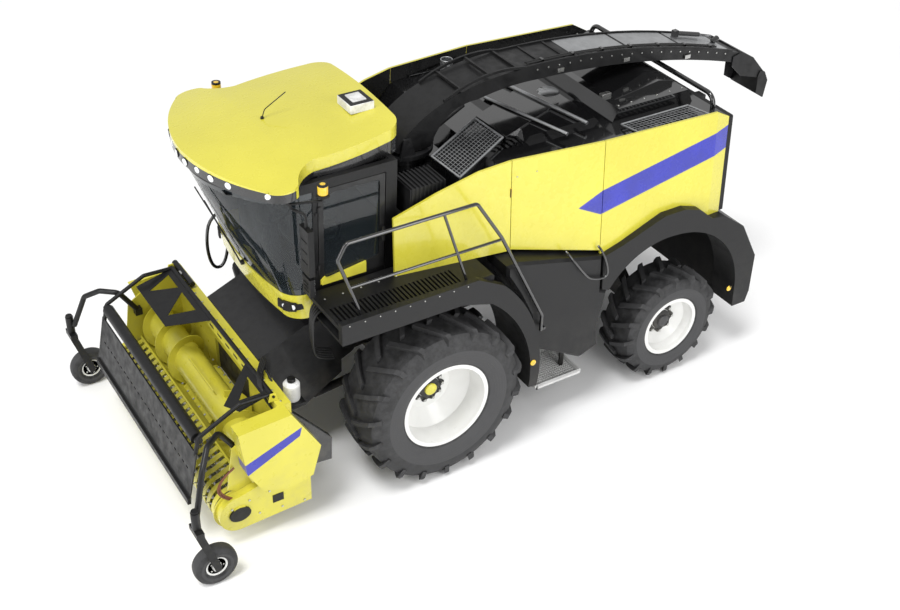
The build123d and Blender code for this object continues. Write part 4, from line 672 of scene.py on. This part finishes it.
class HARVESTER_OT_roof(Operator):
    """Adds beacons, the receiver's cover, the aerial's foot and lamps to the roof"""
    bl_idname = "harvester.roof"
    bl_label = "Roof fittings"

    def execute(self, context):
        bm = bmesh.new()
        for hand in hands.values():
            add_turned(bm, [(0, 0.063), (0.02, 0.063), (0.026, 0.05)], (hand * 1.19, -1.12, 3.585), up, 0, 28)
            add_turned(bm, [(0, 0.05), (0.085, 0.05), (0.102, 0.04), (0.108, 0.02)],
                       (hand * 1.19, -1.12, 3.611), up, 1, 28)
        add_box(bm, (0.165, -0.425, 3.9), (0.445, -0.165, 3.99), 2)
        add_box(bm, (0.22, -0.37, 3.985), (0.39, -0.22, 4.005), 2)
        add_bar(bm, (0.0, -1.15, 3.83), (0.0, -1.15, 3.862), 0.018, 0, 16)
        finish_piece(bm, "roof_fittings", "machine", ["cab", "amber", "white"], soft=0.006)

        bm = bmesh.new()
        lamps = [(x, y, lamp_z, (0.10 + 0.55 * x, -1, -0.12), 0.044, 0.008, (0.018, 0.016), 24)
                 for x, y in ((0.10, -1.994), (0.30, -1.954), (0.50, -1.909), (0.70, -1.826))]
        lamps.append((1.07, -1.60, lamp_z + 0.003, (0.62, -0.78, -0.1), 0.046, 0.006, (0.016, 0.015), 28))
        for x, y, z, lean, case_r, rim, tip, steps in lamps:
            for hand in hands.values():
                spot, way = (hand * x, y, z), (hand * lean[0], *lean[1:])
                add_turned(bm, [(-0.03, case_r), (rim, case_r)], spot, way, 0, steps)
                add_turned(bm, [(0, 0.038), (tip[0] - 0.004, 0.036), tip], spot, way, 1, steps)
        finish_piece(bm, "roof_lamps", "machine", ["cab", "white_lens"], soft=0.002)
        return {"FINISHED"}


class HARVESTER_OT_cab(Operator):
    """Adds the wiper, the nose lamps and the cab's inner fittings"""
    bl_idname = "harvester.cab"
    bl_label = "Cab fittings"

    def execute(self, context):
        bm = bmesh.new()
        add_turned(bm, [(0, 0.03), (0.03, 0.026)], (0.05, -1.478, 2.33), (0, -1, 0), 0, 20)
        add_tube(bm, [(0.05, -1.508, 2.33), (0.0, -1.545, 2.45), (-0.06, -1.68, 2.80), (-0.10, -1.775, 3.06)],
                 0.008, 0)
        add_bar(bm, (0.02, -1.603, 2.60), (-0.20, -1.823, 3.18), 0.007, 1, 8)
        for hand in hands.values():
            patch = [(0.885, -1.215), (0.872, -1.29), (0.835, -1.345), (0.77, -1.385), (0.695, -1.405)]
            for k, (low, high) in enumerate(((2.18, 2.25), (2.165, 2.265), (2.16, 2.27), (2.17, 2.26))):
                (x0, y0), (x1, y1) = patch[k], patch[k + 1]
                ends = [bm.verts.new(at(hand * x, y, z)) for x, y, z in
                        ((x0, y0, low), (x1, y1, low), (x1, y1, high), (x0, y0, high))]
                made = bmesh.ops.extrude_face_region(bm, geom=[bm.faces.new(ends)])["geom"]
                outer = [part for part in made if isinstance(part, bmesh.types.BMVert)]
                bmesh.ops.translate(bm, verts=outer, vec=Vector((hand * 0.018, -0.018, 0)))
            for x, y in ((0.862, -1.335), (0.80, -1.385)):
                add_turned(bm, [(0.0, 0.034), (0.007, 0.030), (0.008, 0)], (hand * x, y, 2.215),
                           (hand * 0.6, -0.8, -0.05), 2, 24)
        finish_piece(bm, "windshield_wiper", "machine", ["cab", "rubber", "white_lens"],
                     soft=0.001)

        bm = bmesh.new()
        add_box(bm, (-0.50, -1.02, 2.67), (-0.34, -0.62, 2.70), 0)
        add_bar(bm, (-0.42, -0.98, 2.70), (-0.42, -1.0, 2.80), 0.016, 0, 14)
        add_box(bm, (-0.445, -1.03, 2.79), (-0.395, -0.975, 2.87), 0)
        add_box(bm, (-0.62, -1.16, 2.84), (-0.38, -1.13, 3.02), 0)
        add_box(bm, (-0.605, -1.128, 2.855), (-0.395, -1.126, 3.005), 1)
        add_bar(bm, (-0.50, -1.13, 2.86), (-0.46, -0.98, 2.69), 0.011, 0, 12)
        add_tube(bm, [(0, -1.30, 2.15), (0, -1.24, 2.45), (0, -1.12, 2.77)], 0.035, 0)
        add_box(bm, (-0.18, -1.33, 2.112), (-0.07, -1.23, 2.16), 2)
        add_box(bm, (0.07, -1.33, 2.112), (0.18, -1.23, 2.16), 2)
        add_box(bm, (-0.60, -0.36, 3.40), (0.60, -0.27, 3.48), 0)
        add_plate(bm, "x", [(-1.80, 3.47), (-1.60, 3.40), (-1.60, 3.395), (-1.80, 3.465)], -0.55, 0.55, 2)
        finish_piece(bm, "cab_controls", "machine", ["cab", "glass", "rubber"], soft=0.006)
        return {"FINISHED"}


def add_cushion(bm, low, high, grooves=(), lean=0.0):
    """Stuffed block, crowned on every face, with stitched grooves and a lean to the rear."""
    low, high = at(*low), at(*high)
    centre, half = (low + high) / 2, (high - low) / 2
    part = bmesh.new()
    bmesh.ops.create_cube(part, size=2)
    bmesh.ops.subdivide_edges(part, edges=part.edges[:], cuts=9, use_grid_fill=True)
    for vert in part.verts:
        u, v, w = vert.co
        sunk = max([0.0] + [1 - abs(u - groove) / 0.12 for groove in grooves])
        shape = Vector((u * (1 - 0.07 * v ** 4 - 0.10 * w ** 4), v * (1 - 0.06 * u ** 4 - 0.12 * w ** 4),
                        w * (1 - 0.10 * u ** 4 - 0.10 * v ** 4 - 0.12 * sunk)))
        vert.co = centre + Vector(a * b for a, b in zip(shape, half))
        vert.co.y += lean * (vert.co.z - low.z)
    mesh = bpy.data.meshes.new("cushion")
    part.to_mesh(mesh)
    part.free()
    pour(bm, mesh, 0)


class HARVESTER_OT_seat(Operator):
    """Replaces the plain seat with padded cushions on a base"""
    bl_idname = "harvester.seat"
    bl_label = "Seat"

    def execute(self, context):
        bm = bmesh.new()
        add_box(bm, (-0.19, -0.90, 2.112), (0.19, -0.50, 2.36), 0)
        add_box(bm, (-0.25, -0.96, 2.36), (0.25, -0.46, 2.41), 0)
        for x in (-0.255, 0.255):
            add_box(bm, (x - 0.03, -0.86, 2.62), (x + 0.03, -0.50, 2.66), 0)
            add_bar(bm, (x, -0.52, 2.42), (x, -0.47, 2.62), 0.018, 0, 12)
        finish_piece(bm, "seat_base", "machine", ["cab"], ("seat",), 0.006)
        bm = bmesh.new()
        add_cushion(bm, (-0.25, -0.98, 2.41), (0.25, -0.46, 2.54), (-0.5, 0.5))
        cushion = finish_piece(bm, "seat_cushion", "machine", ["cloth"], ("seat",), 0)
        bm = bmesh.new()
        add_cushion(bm, (-0.23, -0.53, 2.55), (0.23, -0.42, 3.19), (-0.5, 0.5), 0.12)
        back = finish_piece(bm, "seat_back", "machine", ["cloth"], ("seat",), 0)
        for piece in (cushion, back):
            round_off = piece.modifiers.new("stuffing", "SUBSURF")
            round_off.levels = round_off.render_levels = 1
        return {"FINISHED"}


class HARVESTER_OT_mirrors(Operator):
    """Adds silvered faces and ribs to the mirrors"""
    bl_idname = "harvester.mirrors"
    bl_label = "Mirror faces"

    def execute(self, context):
        bm = bmesh.new()
        for hand in hands.values():
            for x0, x1, z0, z1 in ((1.108, 1.262, 2.815, 3.285), (1.118, 1.252, 2.575, 2.745)):
                add_box(bm, (hand * x0, -1.269, z0), (hand * x1, -1.266, z1), 1)
                for z in row(z0, z1, 5)[1:-1]:
                    add_box(bm, (hand * (x0 + 0.02), -1.336, z - 0.004),
                            (hand * (x1 - 0.02), -1.329, z + 0.004), 0)
        finish_piece(bm, "mirror_faces", "machine", ["cab", "mirror"], soft=0.001)
        return {"FINISHED"}


class HARVESTER_OT_deck(Operator):
    """Adds the deck's mesh guards, cover plates, struts, ribbed intake box, caps and bolts"""
    bl_idname = "harvester.deck"
    bl_label = "Deck fittings"

    def execute(self, context):
        bm = bmesh.new()
        add_mesh_panel(bm, (0.575, 0.416, 3.285), (0.50, 0.02, 0), (-0.48, 0.83, 0), 0.0034)
        add_mesh_panel(bm, (0.93, 2.56, 3.26), (0.36, 0, 0.05), (0.0, 0.92, 0.0), 0.0034)
        finish_piece(bm, "deck_mesh", "machine", ["silver"], soft=0)

        bm = bmesh.new()
        add_plate(bm, "z", [(0.575, 0.41), (1.08, 0.43), (0.60, 1.26), (0.09, 1.24)], 3.03, 3.27, 0)
        add_plate(bm, "z", [(0.07, 1.27), (0.62, 1.29), (0.25, 2.23), (-0.29, 2.09)], deck_z, 3.30, 0)
        add_bar(bm, (-0.23, 1.58, 3.31), (0.90, 1.87, 3.31), 0.022, 1, 16)
        add_bar(bm, (-0.45, 1.95, 3.31), (0.80, 2.20, 3.31), 0.022, 1, 16)
        add_turned(bm, [(0, 0.13), (0.06, 0.13), (0.075, 0.11)], (-0.05, 2.30, deck_z), up, 3, 36)
        add_box(bm, (0.70, -0.10, 2.93), (1.03, 0.30, 3.27), 1)
        for y in row(-0.085, 0.283, 9):
            add_box(bm, (0.69, y, 2.95), (1.04, y + 0.016, 3.285), 1)
        add_box(bm, (0.74, 0.30, 3.05), (0.98, 0.34, 3.24), 1)
        for hand in hands.values():
            add_box(bm, (hand * 1.20, 1.20, 3.22), (hand * 1.235, 1.95, 3.245), 0)
            add_bolts(bm, [(hand * 1.262, y, deck_z) for y in row(1.0, 3.6, 12)], up, 2)
        for x in (-0.76, 0.76):
            add_bolts(bm, [(x, y, 3.385) for y in row(2.64, 3.52, 6)], up, 2)
        add_plate(bm, "x", [(2.66, 3.38), (3.50, 3.38), (3.50, 3.43), (3.30, 3.47), (2.80, 3.40)],
                  -0.62, 0.62, 0)
        for x in (-0.5, 0.5):
            add_box(bm, (x - 0.03, 2.60, 3.38), (x + 0.03, 2.72, 3.42), 2)
        add_turned(bm, [(0, 0.10), (0.12, 0.10), (0.15, 0.08)], (-0.95, 2.0, deck_z), up, 1, 32)
        add_turned(bm, [(0, 0.07), (0.24, 0.07), (0.24, 0.06), (0.10, 0.06)], (-0.98, 1.55, deck_z),
                   up, 3, 28)
        finish_piece(bm, "deck_covers", "machine", ["gloss", "moulding", "zinc", "silver"])
        return {"FINISHED"}


class HARVESTER_OT_body(Operator):
    """Adds door pins, reflectors, the rear handles and the grab tube right of the cab"""
    bl_idname = "harvester.body"
    bl_label = "Body trims"

    def execute(self, context):
        bm = bmesh.new()
        handle = [(1.44, 1.56, 2.26), (1.53, 1.56, 2.24), (1.53, 1.77, 1.95), (1.53, 1.86, 1.86),
                  (1.53, 2.05, 1.81), (1.53, 2.10, 1.88), (1.53, 1.99, 2.18), (1.45, 1.98, 2.20)]
        for hand in hands.values():
            for z, x in ((2.35, 1.278), (3.05, 1.246)):
                add_bar(bm, (hand * x, 0.945, z - 0.05), (hand * (x - 0.003), 0.945, z + 0.05), 0.010, 0, 12)
            # The amber discs below are side reflectors, and the glow of their lens is painted glow
            for x, y, z in ((1.499, 4.02, 0.98), (1.653, 1.075, 1.12)):
                add_turned(bm, [(0, 0.036), (0.01, 0.034), (0.014, 0.02)], (hand * x, y, z), (hand, 0, 0),
                           1, 24)
            add_tube(bm, [(hand * x, y, z) for x, y, z in handle], 0.013, 2)
        add_tube(bm, [(-1.0, -1.17, 2.35), (-1.0, -1.40, 2.30), (-1.0, -1.47, 1.95), (-1.0, -1.42, 1.62),
                      (-1.0, -1.28, 1.60), (-1.0, -1.20, 1.9), (-1.0, -1.17, 2.33)], 0.019, 2)
        finish_piece(bm, "body_trims", "machine", ["moulding", "amber", "gloss"])
        return {"FINISHED"}


class HARVESTER_OT_rear(Operator):
    """Adds tail lamps, a blank plate, work lamps and grille mesh at the rear"""
    bl_idname = "harvester.rear"
    bl_label = "Rear lamps"

    def execute(self, context):
        bm = bmesh.new()
        for hand in hands.values():
            for z, m in ((1.16, 1), (1.0, 2)):
                add_turned(bm, [(0, 0.066), (0.012, 0.066)], (hand * 0.92, 4.355, z), (0, 1, 0), 0, 28)
                add_turned(bm, [(0, 0.056), (0.018, 0.052), (0.022, 0.02)], (hand * 0.92, 4.362, z),
                           (0, 1, 0), m, 28)
            lamp_x = hand * 0.62
            add_box(bm, (lamp_x - 0.06, 3.90, 3.08), (lamp_x + 0.06, 3.98, 3.16), 0)
            add_box(bm, (lamp_x - 0.05, 3.98, 3.09), (lamp_x + 0.05, 3.985, 3.15), 4)
        add_box(bm, (-0.26, 4.352, 0.78), (0.26, 4.366, 0.90), 3)
        finish_piece(bm, "rear_lamps", "machine", ["moulding", "red", "amber", "white", "white_lens"],
                     soft=0.002)

        bm = bmesh.new()
        add_mesh_panel(bm, (-1.0, 3.925, 2.16), (2.0, 0, 0), (0, 0, 0.92), 0.003)
        finish_piece(bm, "grille_mesh", "machine", ["guard"], soft=0)
        return {"FINISHED"}


class HARVESTER_OT_steps(Operator):
    """Adds the tread of the bottom step, the walkway's edges and their bolts"""
    bl_idname = "harvester.steps"
    bl_label = "Steps and walkway"

    def execute(self, context):
        bm = bmesh.new()
        add_box(bm, (0.852, 1.352, 0.479), (1.398, 1.948, 0.483), 0)
        add_mesh_panel(bm, (0.858, 1.358, 0.486), (0.534, 0, 0), (0, 0.584, 0), 0.0075, 0.032)
        finish_piece(bm, "step_tread", "machine", ["tread"], soft=0)

        bm = bmesh.new()
        for hand in hands.values():
            add_box(bm, (hand * 1.548, -1.18, 2.379), (hand * 1.576, 0.55, 2.388), 0)
            add_bolts(bm, [(hand * 1.11, y, 2.38) for y in row(-1.1, 0.5, 9)], up, 1)
            add_bolts(bm, [(hand * 1.655, y, 2.41) for y in row(-1.12, 0.2, 9)], (hand, 0, 0), 1, 0.008)
        finish_piece(bm, "walkway_edges", "machine", ["moulding", "zinc"])
        return {"FINISHED"}


class HARVESTER_OT_gear(Operator):
    """Adds hoses at the feeder and the walkway, the header's reservoir and the rear axle's fittings"""
    bl_idname = "harvester.gear"
    bl_label = "Running gear"

    def execute(self, context):
        hose = sizes().hose
        bm = bmesh.new()
        for k in range(3):
            x = 0.68 + 0.05 * k
            add_tube(bm, [(x, -0.72, 1.62), (x, -0.5, 1.50), (x - 0.02, -0.42, 1.40),
                          (x - 0.04, -0.34, 1.30)], hose, 0)
        for k in range(5):
            x, y = 1.0 + 0.04 * k, -1.20 - 0.012 * k
            add_tube(bm, [(x, -1.10, 2.32), (x, y, 2.30), (x + 0.08, y - 0.06, 2.10),
                          (x + 0.02, y - 0.03, 1.85), (x - 0.12, y + 0.1, 1.62),
                          (x - 0.2, y + 0.3, 1.5)], hose, 0)
        finish_piece(bm, "feeder_hoses", "machine", ["hose"], soft=0)

        bm = bmesh.new()
        add_turned(bm, [(0, 0.078), (0.02, 0.085), (0.19, 0.085), (0.22, 0.06)], (1.10, -1.50, 1.30),
                   up, 0, 32)
        add_turned(bm, [(0, 0.042), (0.04, 0.042)], (1.10, -1.50, 1.52), up, 1, 24)
        add_box(bm, (0.98, -1.62, 1.27), (1.22, -1.40, 1.30), 1)
        for x in row(1.0, 1.08, 3):
            add_tube(bm, [(x, -1.60, 1.30), (x, -1.66, 1.45), (0.95, -1.68, 1.6), (0.8, -1.66, 1.56)],
                     hose, 2)
        finish_piece(bm, "header_reservoir", "header", ["white", "cab", "hose"], soft=0.004)

        bm = bmesh.new()
        for hand in hands.values():
            add_turned(bm, [(0, 0.05), (0.02, 0.05), (0.03, 0.03)], (hand * 0.95, wheelbase, 0.765),
                       up, 0, 24)
        for z in (0.79, 0.83):
            for hand in hands.values():
                add_tube(bm, [(0.0, 3.16, z), (hand * 0.35, 3.14, z + 0.01), (hand * 0.7, 3.13, z)], hose, 1)
        finish_piece(bm, "rear_axle_fittings", "machine", ["zinc", "hose"], soft=0.001)
        return {"FINISHED"}


class HARVESTER_OT_header(Operator):
    """Adds drive covers, the lifting eye, a roller, hoses and bolts to the header frame"""
    bl_idname = "harvester.header"
    bl_label = "Header trims"

    def execute(self, context):
        hose = sizes().hose
        bm = bmesh.new()
        for x in row(-1.2, 1.2, 13):
            add_box(bm, (x - 0.05, -1.792, 1.46), (x + 0.05, -1.789, 1.485), 0)
        add_bolts(bm, [(x, -1.73, 1.53) for x in row(-1.34, 1.34, 15)], up, 1)
        cover = [(-2.31 + 0.115 * cos(turn), 0.43 + 0.085 * sin(turn)) for turn in row(0, 2 * pi, 33)[:-1]]
        hatch = [(-1.95, 0.40), (-1.83, 0.40), (-1.83, 0.50), (-1.95, 0.50)]
        for hand in hands.values():
            add_plate(bm, "x", cover, hand * 1.49, hand * 1.512, 0)
            add_bolts(bm, [(hand * 1.49, y, z) for y, z in
                           ((-2.39, 0.52), (-2.2, 0.56), (-1.98, 0.58), (-1.75, 0.60), (-1.60, 0.70),
                            (-2.1, 0.34), (-1.85, 0.31), (-1.6, 0.28))], (hand, 0, 0), 1, 0.013)
            add_plate(bm, "x", hatch, hand * 1.489, hand * 1.496, 0)
        add_turned(bm, [(-0.004, 0.028), (0.004, 0.028)], (0.9, -1.73, 1.57), (1, 0, 0), 1, 16,
                   closed=False)
        add_tube(bm, [(0.86, -1.73, 1.53), (0.86, -1.73, 1.60), (0.94, -1.73, 1.60), (0.94, -1.73, 1.53)],
                 0.010, 0)
        add_bar(bm, (-1.36, -1.72, 1.585), (-0.86, -1.72, 1.585), 0.034, 0, 24)
        for x in (-1.28, -1.0):
            add_box(bm, (x, -1.75, 1.53), (x + 0.06, -1.69, 1.56), 0)
        add_box(bm, (-1.13, -1.765, 1.57), (-1.07, -1.745, 1.62), 1)
        finish_piece(bm, "header_trims", "header", ["guard", "zinc"], soft=0.002)

        bm = bmesh.new()
        for shift in row(0, 0.084, 4):
            add_tube(bm, [(1.28 - shift, -1.80, 1.42), (1.22 - shift, -1.86, 1.56),
                          (1.05 - shift, -1.80, 1.62),
                          (0.9 - shift, -1.72, 1.58), (0.78 - shift, -1.62, 1.60)], hose, 0)
        for shift in (0, 0.03):
            add_tube(bm, [(1.45, -2.35 - shift, 0.62), (1.47, -2.50 - shift, 0.74), (1.44, -2.46, 0.92),
                          (1.42, -2.30, 0.98)], hose, 1)
        finish_piece(bm, "header_hoses", "header", ["hose", "hose_brown"], soft=0)
        return {"FINISHED"}


class HARVESTER_OT_auger(Operator):
    """Adds bolts to the auger's paddles"""
    bl_idname = "harvester.auger"
    bl_label = "Auger bolts"

    def execute(self, context):
        bm = bmesh.new()
        for turn in (0.4, 0.4 + pi):
            out = Vector((0, cos(turn), sin(turn)))
            side = Vector((0, -sin(turn), cos(turn)))
            spots = [Vector((x, -1.96, 0.86)) + out * 0.205 + side * 0.006 for x in row(-0.30, 0.30, 5)]
            add_bolts(bm, spots, side, 0, 0.012)
        finish_piece(bm, "auger_bolts", "auger", ["zinc"], soft=0)
        return {"FINISHED"}


class HARVESTER_OT_guard(Operator):
    """Adds a silver strip on the crop guard's lower edge, a painted highlight where the front bar's face
    catches the light, and its two rows of perforations
    """
    bl_idname = "harvester.guard"
    bl_label = "Crop guard trims"

    def execute(self, context):
        bm = bmesh.new()
        # Silver strip along the front bar's face: a painted highlight that stands in for the light falling on
        # that face
        add_plate(bm, "x", [(-2.742, 0.636), (-2.728, 0.632), (-2.716, 0.686), (-2.730, 0.690)], -1.3, 1.3, 0)
        finish_piece(bm, "guard_edge_painted_highlight", "crop_guard", ["silver"], soft=0.001)

        bm = bmesh.new()
        for x in row(-1.25, 1.25, 61):
            for y, z in ((-2.622, 1.165), (-2.627, 1.142)):
                add_bar(bm, (x, y, z), (x, y - 0.006, z - 0.001), 0.006, 0, 6)
        finish_piece(bm, "guard_perforations", "crop_guard", ["header"], soft=0)
        return {"FINISHED"}


class HARVESTER_OT_gauges(Operator):
    """Adds hubs and nuts to the gauge wheels"""
    bl_idname = "harvester.gauges"
    bl_label = "Gauge wheels"

    def execute(self, context):
        for side in hands:
            low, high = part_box(f"caster_wheel_{side}")
            middle = centre_of(f"caster_wheel_{side}")
            y, z = middle.y - axle_y, middle.z
            bm = bmesh.new()
            for x, way in ((high.x, 1), (low.x, -1)):
                add_turned(bm, [(-0.03, 0.118), (-0.022, 0.118), (-0.03, 0.095), (-0.03, 0.05), (0.0, 0.045),
                                (0.004, 0.03)], (x, y, z), (way, 0, 0), 0, 32)
                add_bolts(bm, [(x - way * 0.028, y + 0.07 * cos(k * pi / 2.5), z + 0.07 * sin(k * pi / 2.5))
                               for k in range(5)], (way, 0, 0), 1, 0.009)
            finish_piece(bm, f"gauge_hub_{side}", f"caster_wheel_{side}", ["rim", "zinc"],
                         soft=0.001)
        return {"FINISHED"}


class HARVESTER_OT_spout(Operator):
    """Adds the spout's pale top panels, rails, ribs, bolts, latches, hoses and actuator"""
    bl_idname = "harvester.spout"
    bl_label = "Spout panels"

    def execute(self, context):
        bm = bmesh.new()
        for start, end in ((2.42, 3.16), (3.20, 3.96), (4.0, 4.70)):
            spout_strip(bm, spout_crown, start, end, 7, 0.004, 0.005, (-0.225, 0.225), 0)
        for hand in hands.values():
            add_bolts(bm, [(hand * 0.26, y, spout_middle(y) + 0.035) for y in row(1.9, 4.6, 20)],
                      (hand, 0, 0), 1, 0.010)
            for y in (2.2, 3.1, 4.0):
                z = spout_middle(y)
                add_box(bm, (hand * 0.259, y - 0.04, z - 0.045), (hand * 0.282, y + 0.04, z), 1)
        for hand in hands.values():
            for arc, start, end in ((spout_rise, 0.75, 1.75), (spout_crown, 1.75, 4.72)):
                spout_strip(bm, arc, start, end, 12, 0.01, 0.02, (hand * 0.236, hand * 0.258), 2)
        for y in (0.95, 1.3, 1.65, 1.98, 2.30):
            z = arc_height(spout_rise if y < 1.75 else spout_crown, y)
            add_box(bm, (-0.24, y - 0.012, z - 0.02), (0.24, y + 0.012, z + 0.012), 2)
        finish_piece(bm, "spout_panels", "spout", ["silver", "zinc", "spout"], soft=0.001)

        bm = bmesh.new()
        for x in (0.20, 0.17):
            add_tube(bm, [(x, y, arc_height(spout_crown, y) + 0.022) for y in row(1.8, 4.5, 9)], 0.010, 0)
        for y in row(2.0, 4.4, 7):
            z = arc_height(spout_crown, y)
            add_box(bm, (0.155, y - 0.015, z - 0.01), (0.215, y + 0.015, z + 0.036), 1)
        add_bar(bm, (-0.12, 4.15, 3.56), (-0.12, 4.50, 3.47), 0.028, 1, 20)
        add_bar(bm, (-0.12, 4.50, 3.47), (-0.12, 4.70, 3.41), 0.013, 2, 16)
        add_box(bm, (-0.15, 4.10, 3.52), (-0.09, 4.16, 3.60), 1)
        add_turned(bm, [(0, 0.035), (0.08, 0.035), (0.09, 0.028)], (0.0, 4.62, 3.40),
                   (0, 0.6, 0.25), 1, 24)
        finish_piece(bm, "spout_hoses", "spout", ["hose", "gloss", "chrome"], soft=0.001)
        return {"FINISHED"}


class HARVESTER_OT_stage(Operator):
    """Makes the floor, the lamps, the world and the camera"""
    bl_idname = "harvester.stage"
    bl_label = "Stage"

    def execute(self, context):
        scene = context.scene
        plan = scene.harvester_stage
        mesh = bpy.data.meshes.new("floor")
        bm = bmesh.new()
        bmesh.ops.create_grid(bm, x_segments=1, y_segments=1, size=plan.floor_half)
        bm.to_mesh(mesh)
        bm.free()
        floor = bpy.data.objects.new("floor", mesh)
        scene.collection.objects.link(floor)
        finish, tree, shader, spot = blank("floor_white")
        tone = spread(tree, speckle(tree, spot, 0.7, 3.0), 0.0, 1.0)
        feed(tree, shader, Base_Color=blend_colours(tree, tone, (0.93, 0.93, 0.93), (0.96, 0.96, 0.96)),
             Roughness=spread(tree, speckle(tree, spot, 60.0, 3.0), 0.7, 0.85))
        relief(tree, shader, speckle(tree, spot, 90.0, 3.0), 0.0005, 0.2)
        mesh.materials.append(finish)

        world = bpy.data.worlds.new("studio")
        scene.world = world
        world.use_nodes = True
        tree = world.node_tree
        sky = tree.nodes["Background"]
        sky.inputs["Color"].default_value = (1, 1, 1, 1)
        sky.inputs["Strength"].default_value = plan.sky
        seen = wire(tree, "ShaderNodeBackground", {"Color": (1, 1, 1, 1), "Strength": 1.0})
        rays = tree.nodes.new("ShaderNodeLightPath")
        direct = sums(tree, "MAXIMUM", rays.outputs["Is Camera Ray"], rays.outputs["Is Transmission Ray"])
        pick = tree.nodes.new("ShaderNodeMixShader")
        tree.links.new(direct, pick.inputs[0])
        tree.links.new(sky.outputs[0], pick.inputs[1])
        tree.links.new(seen, pick.inputs[2])
        tree.links.new(pick.outputs[0], tree.nodes["World Output"].inputs["Surface"])

        key = bpy.data.lights.new("key", "SUN")
        key.energy, key.angle = plan.sun, radians(18)
        lamp = bpy.data.objects.new("key", key)
        lamp.rotation_euler = Vector((0.15, -0.35, 1)).to_track_quat("Z", "Y").to_euler()
        scene.collection.objects.link(lamp)
        strip_size, aim = 4, at(0, 0.8, 1.5)
        for name, place, power in (("side_strip", at(9, 2, 5), 420), ("front_strip", at(2, -10, 6), 380)):
            panel = bpy.data.lights.new(name, "AREA")
            panel.shape, panel.energy = "RECTANGLE", power
            panel.size, panel.size_y = strip_size, 2 * strip_size
            lamp = bpy.data.objects.new(name, panel)
            lamp.location = place
            lamp.rotation_euler = (place - aim).to_track_quat("Z", "Y").to_euler()
            scene.collection.objects.link(lamp)

        eye = bpy.data.cameras.new("camera")
        full_frame, far = 36, 200
        eye.lens, eye.sensor_width, eye.clip_end = plan.lens, full_frame, far
        camera = bpy.data.objects.new("camera", eye)
        back = Vector((sin(plan.azimuth) * cos(plan.elevation), -cos(plan.azimuth) * cos(plan.elevation),
                       sin(plan.elevation)))
        level = (-back).cross(Vector(up)).normalized()
        rise = level.cross(-back)
        right = cos(plan.roll) * level + sin(plan.roll) * rise
        top = -sin(plan.roll) * level + cos(plan.roll) * rise
        turned = Matrix((right, top, back)).transposed().to_4x4()
        camera.matrix_world = Matrix.Translation(at(*plan.place)) @ turned
        scene.collection.objects.link(camera)
        scene.camera = camera
        scene.view_settings.view_transform = "Standard"
        return {"FINISHED"}


operators = (
    HARVESTER_OT_dress, HARVESTER_OT_wheels, HARVESTER_OT_roof, HARVESTER_OT_cab, HARVESTER_OT_seat,
    HARVESTER_OT_mirrors, HARVESTER_OT_deck, HARVESTER_OT_body, HARVESTER_OT_rear, HARVESTER_OT_steps,
    HARVESTER_OT_gear,
    HARVESTER_OT_header, HARVESTER_OT_auger, HARVESTER_OT_guard, HARVESTER_OT_gauges, HARVESTER_OT_spout,
    HARVESTER_OT_stage,
)


class HARVESTER_PT_panel(Panel):
    """Sidebar tab with the steps in order"""
    bl_label = "Forage Harvester"
    bl_idname = "HARVESTER_PT_panel"
    bl_space_type = "VIEW_3D"
    bl_region_type = "UI"
    bl_category = "Harvester"

    def draw(self, context):
        scene = context.scene
        for group in (scene.harvester_paints, scene.harvester_sizes, scene.harvester_stage):
            for name in group.bl_rna.properties.keys():
                if name not in {"rna_type", "name"}:
                    self.layout.prop(group, name)
        for operator in operators:
            self.layout.operator(operator.bl_idname)


classes = (HarvesterPaints, HarvesterSizes, HarvesterStage, *operators, HARVESTER_PT_panel)


def register():
    for cls in classes:
        bpy.utils.register_class(cls)
    bpy.types.Scene.harvester_paints = PointerProperty(type=HarvesterPaints)
    bpy.types.Scene.harvester_sizes = PointerProperty(type=HarvesterSizes)
    bpy.types.Scene.harvester_stage = PointerProperty(type=HarvesterStage)


def unregister():
    del bpy.types.Scene.harvester_stage
    del bpy.types.Scene.harvester_sizes
    del bpy.types.Scene.harvester_paints
    for cls in reversed(classes):
        bpy.utils.unregister_class(cls)


def main():
    register()
    for operator in operators:
        group, name = operator.bl_idname.split(".")
        getattr(getattr(bpy.ops, group), name)()


if __name__ == "__main__":
    main()
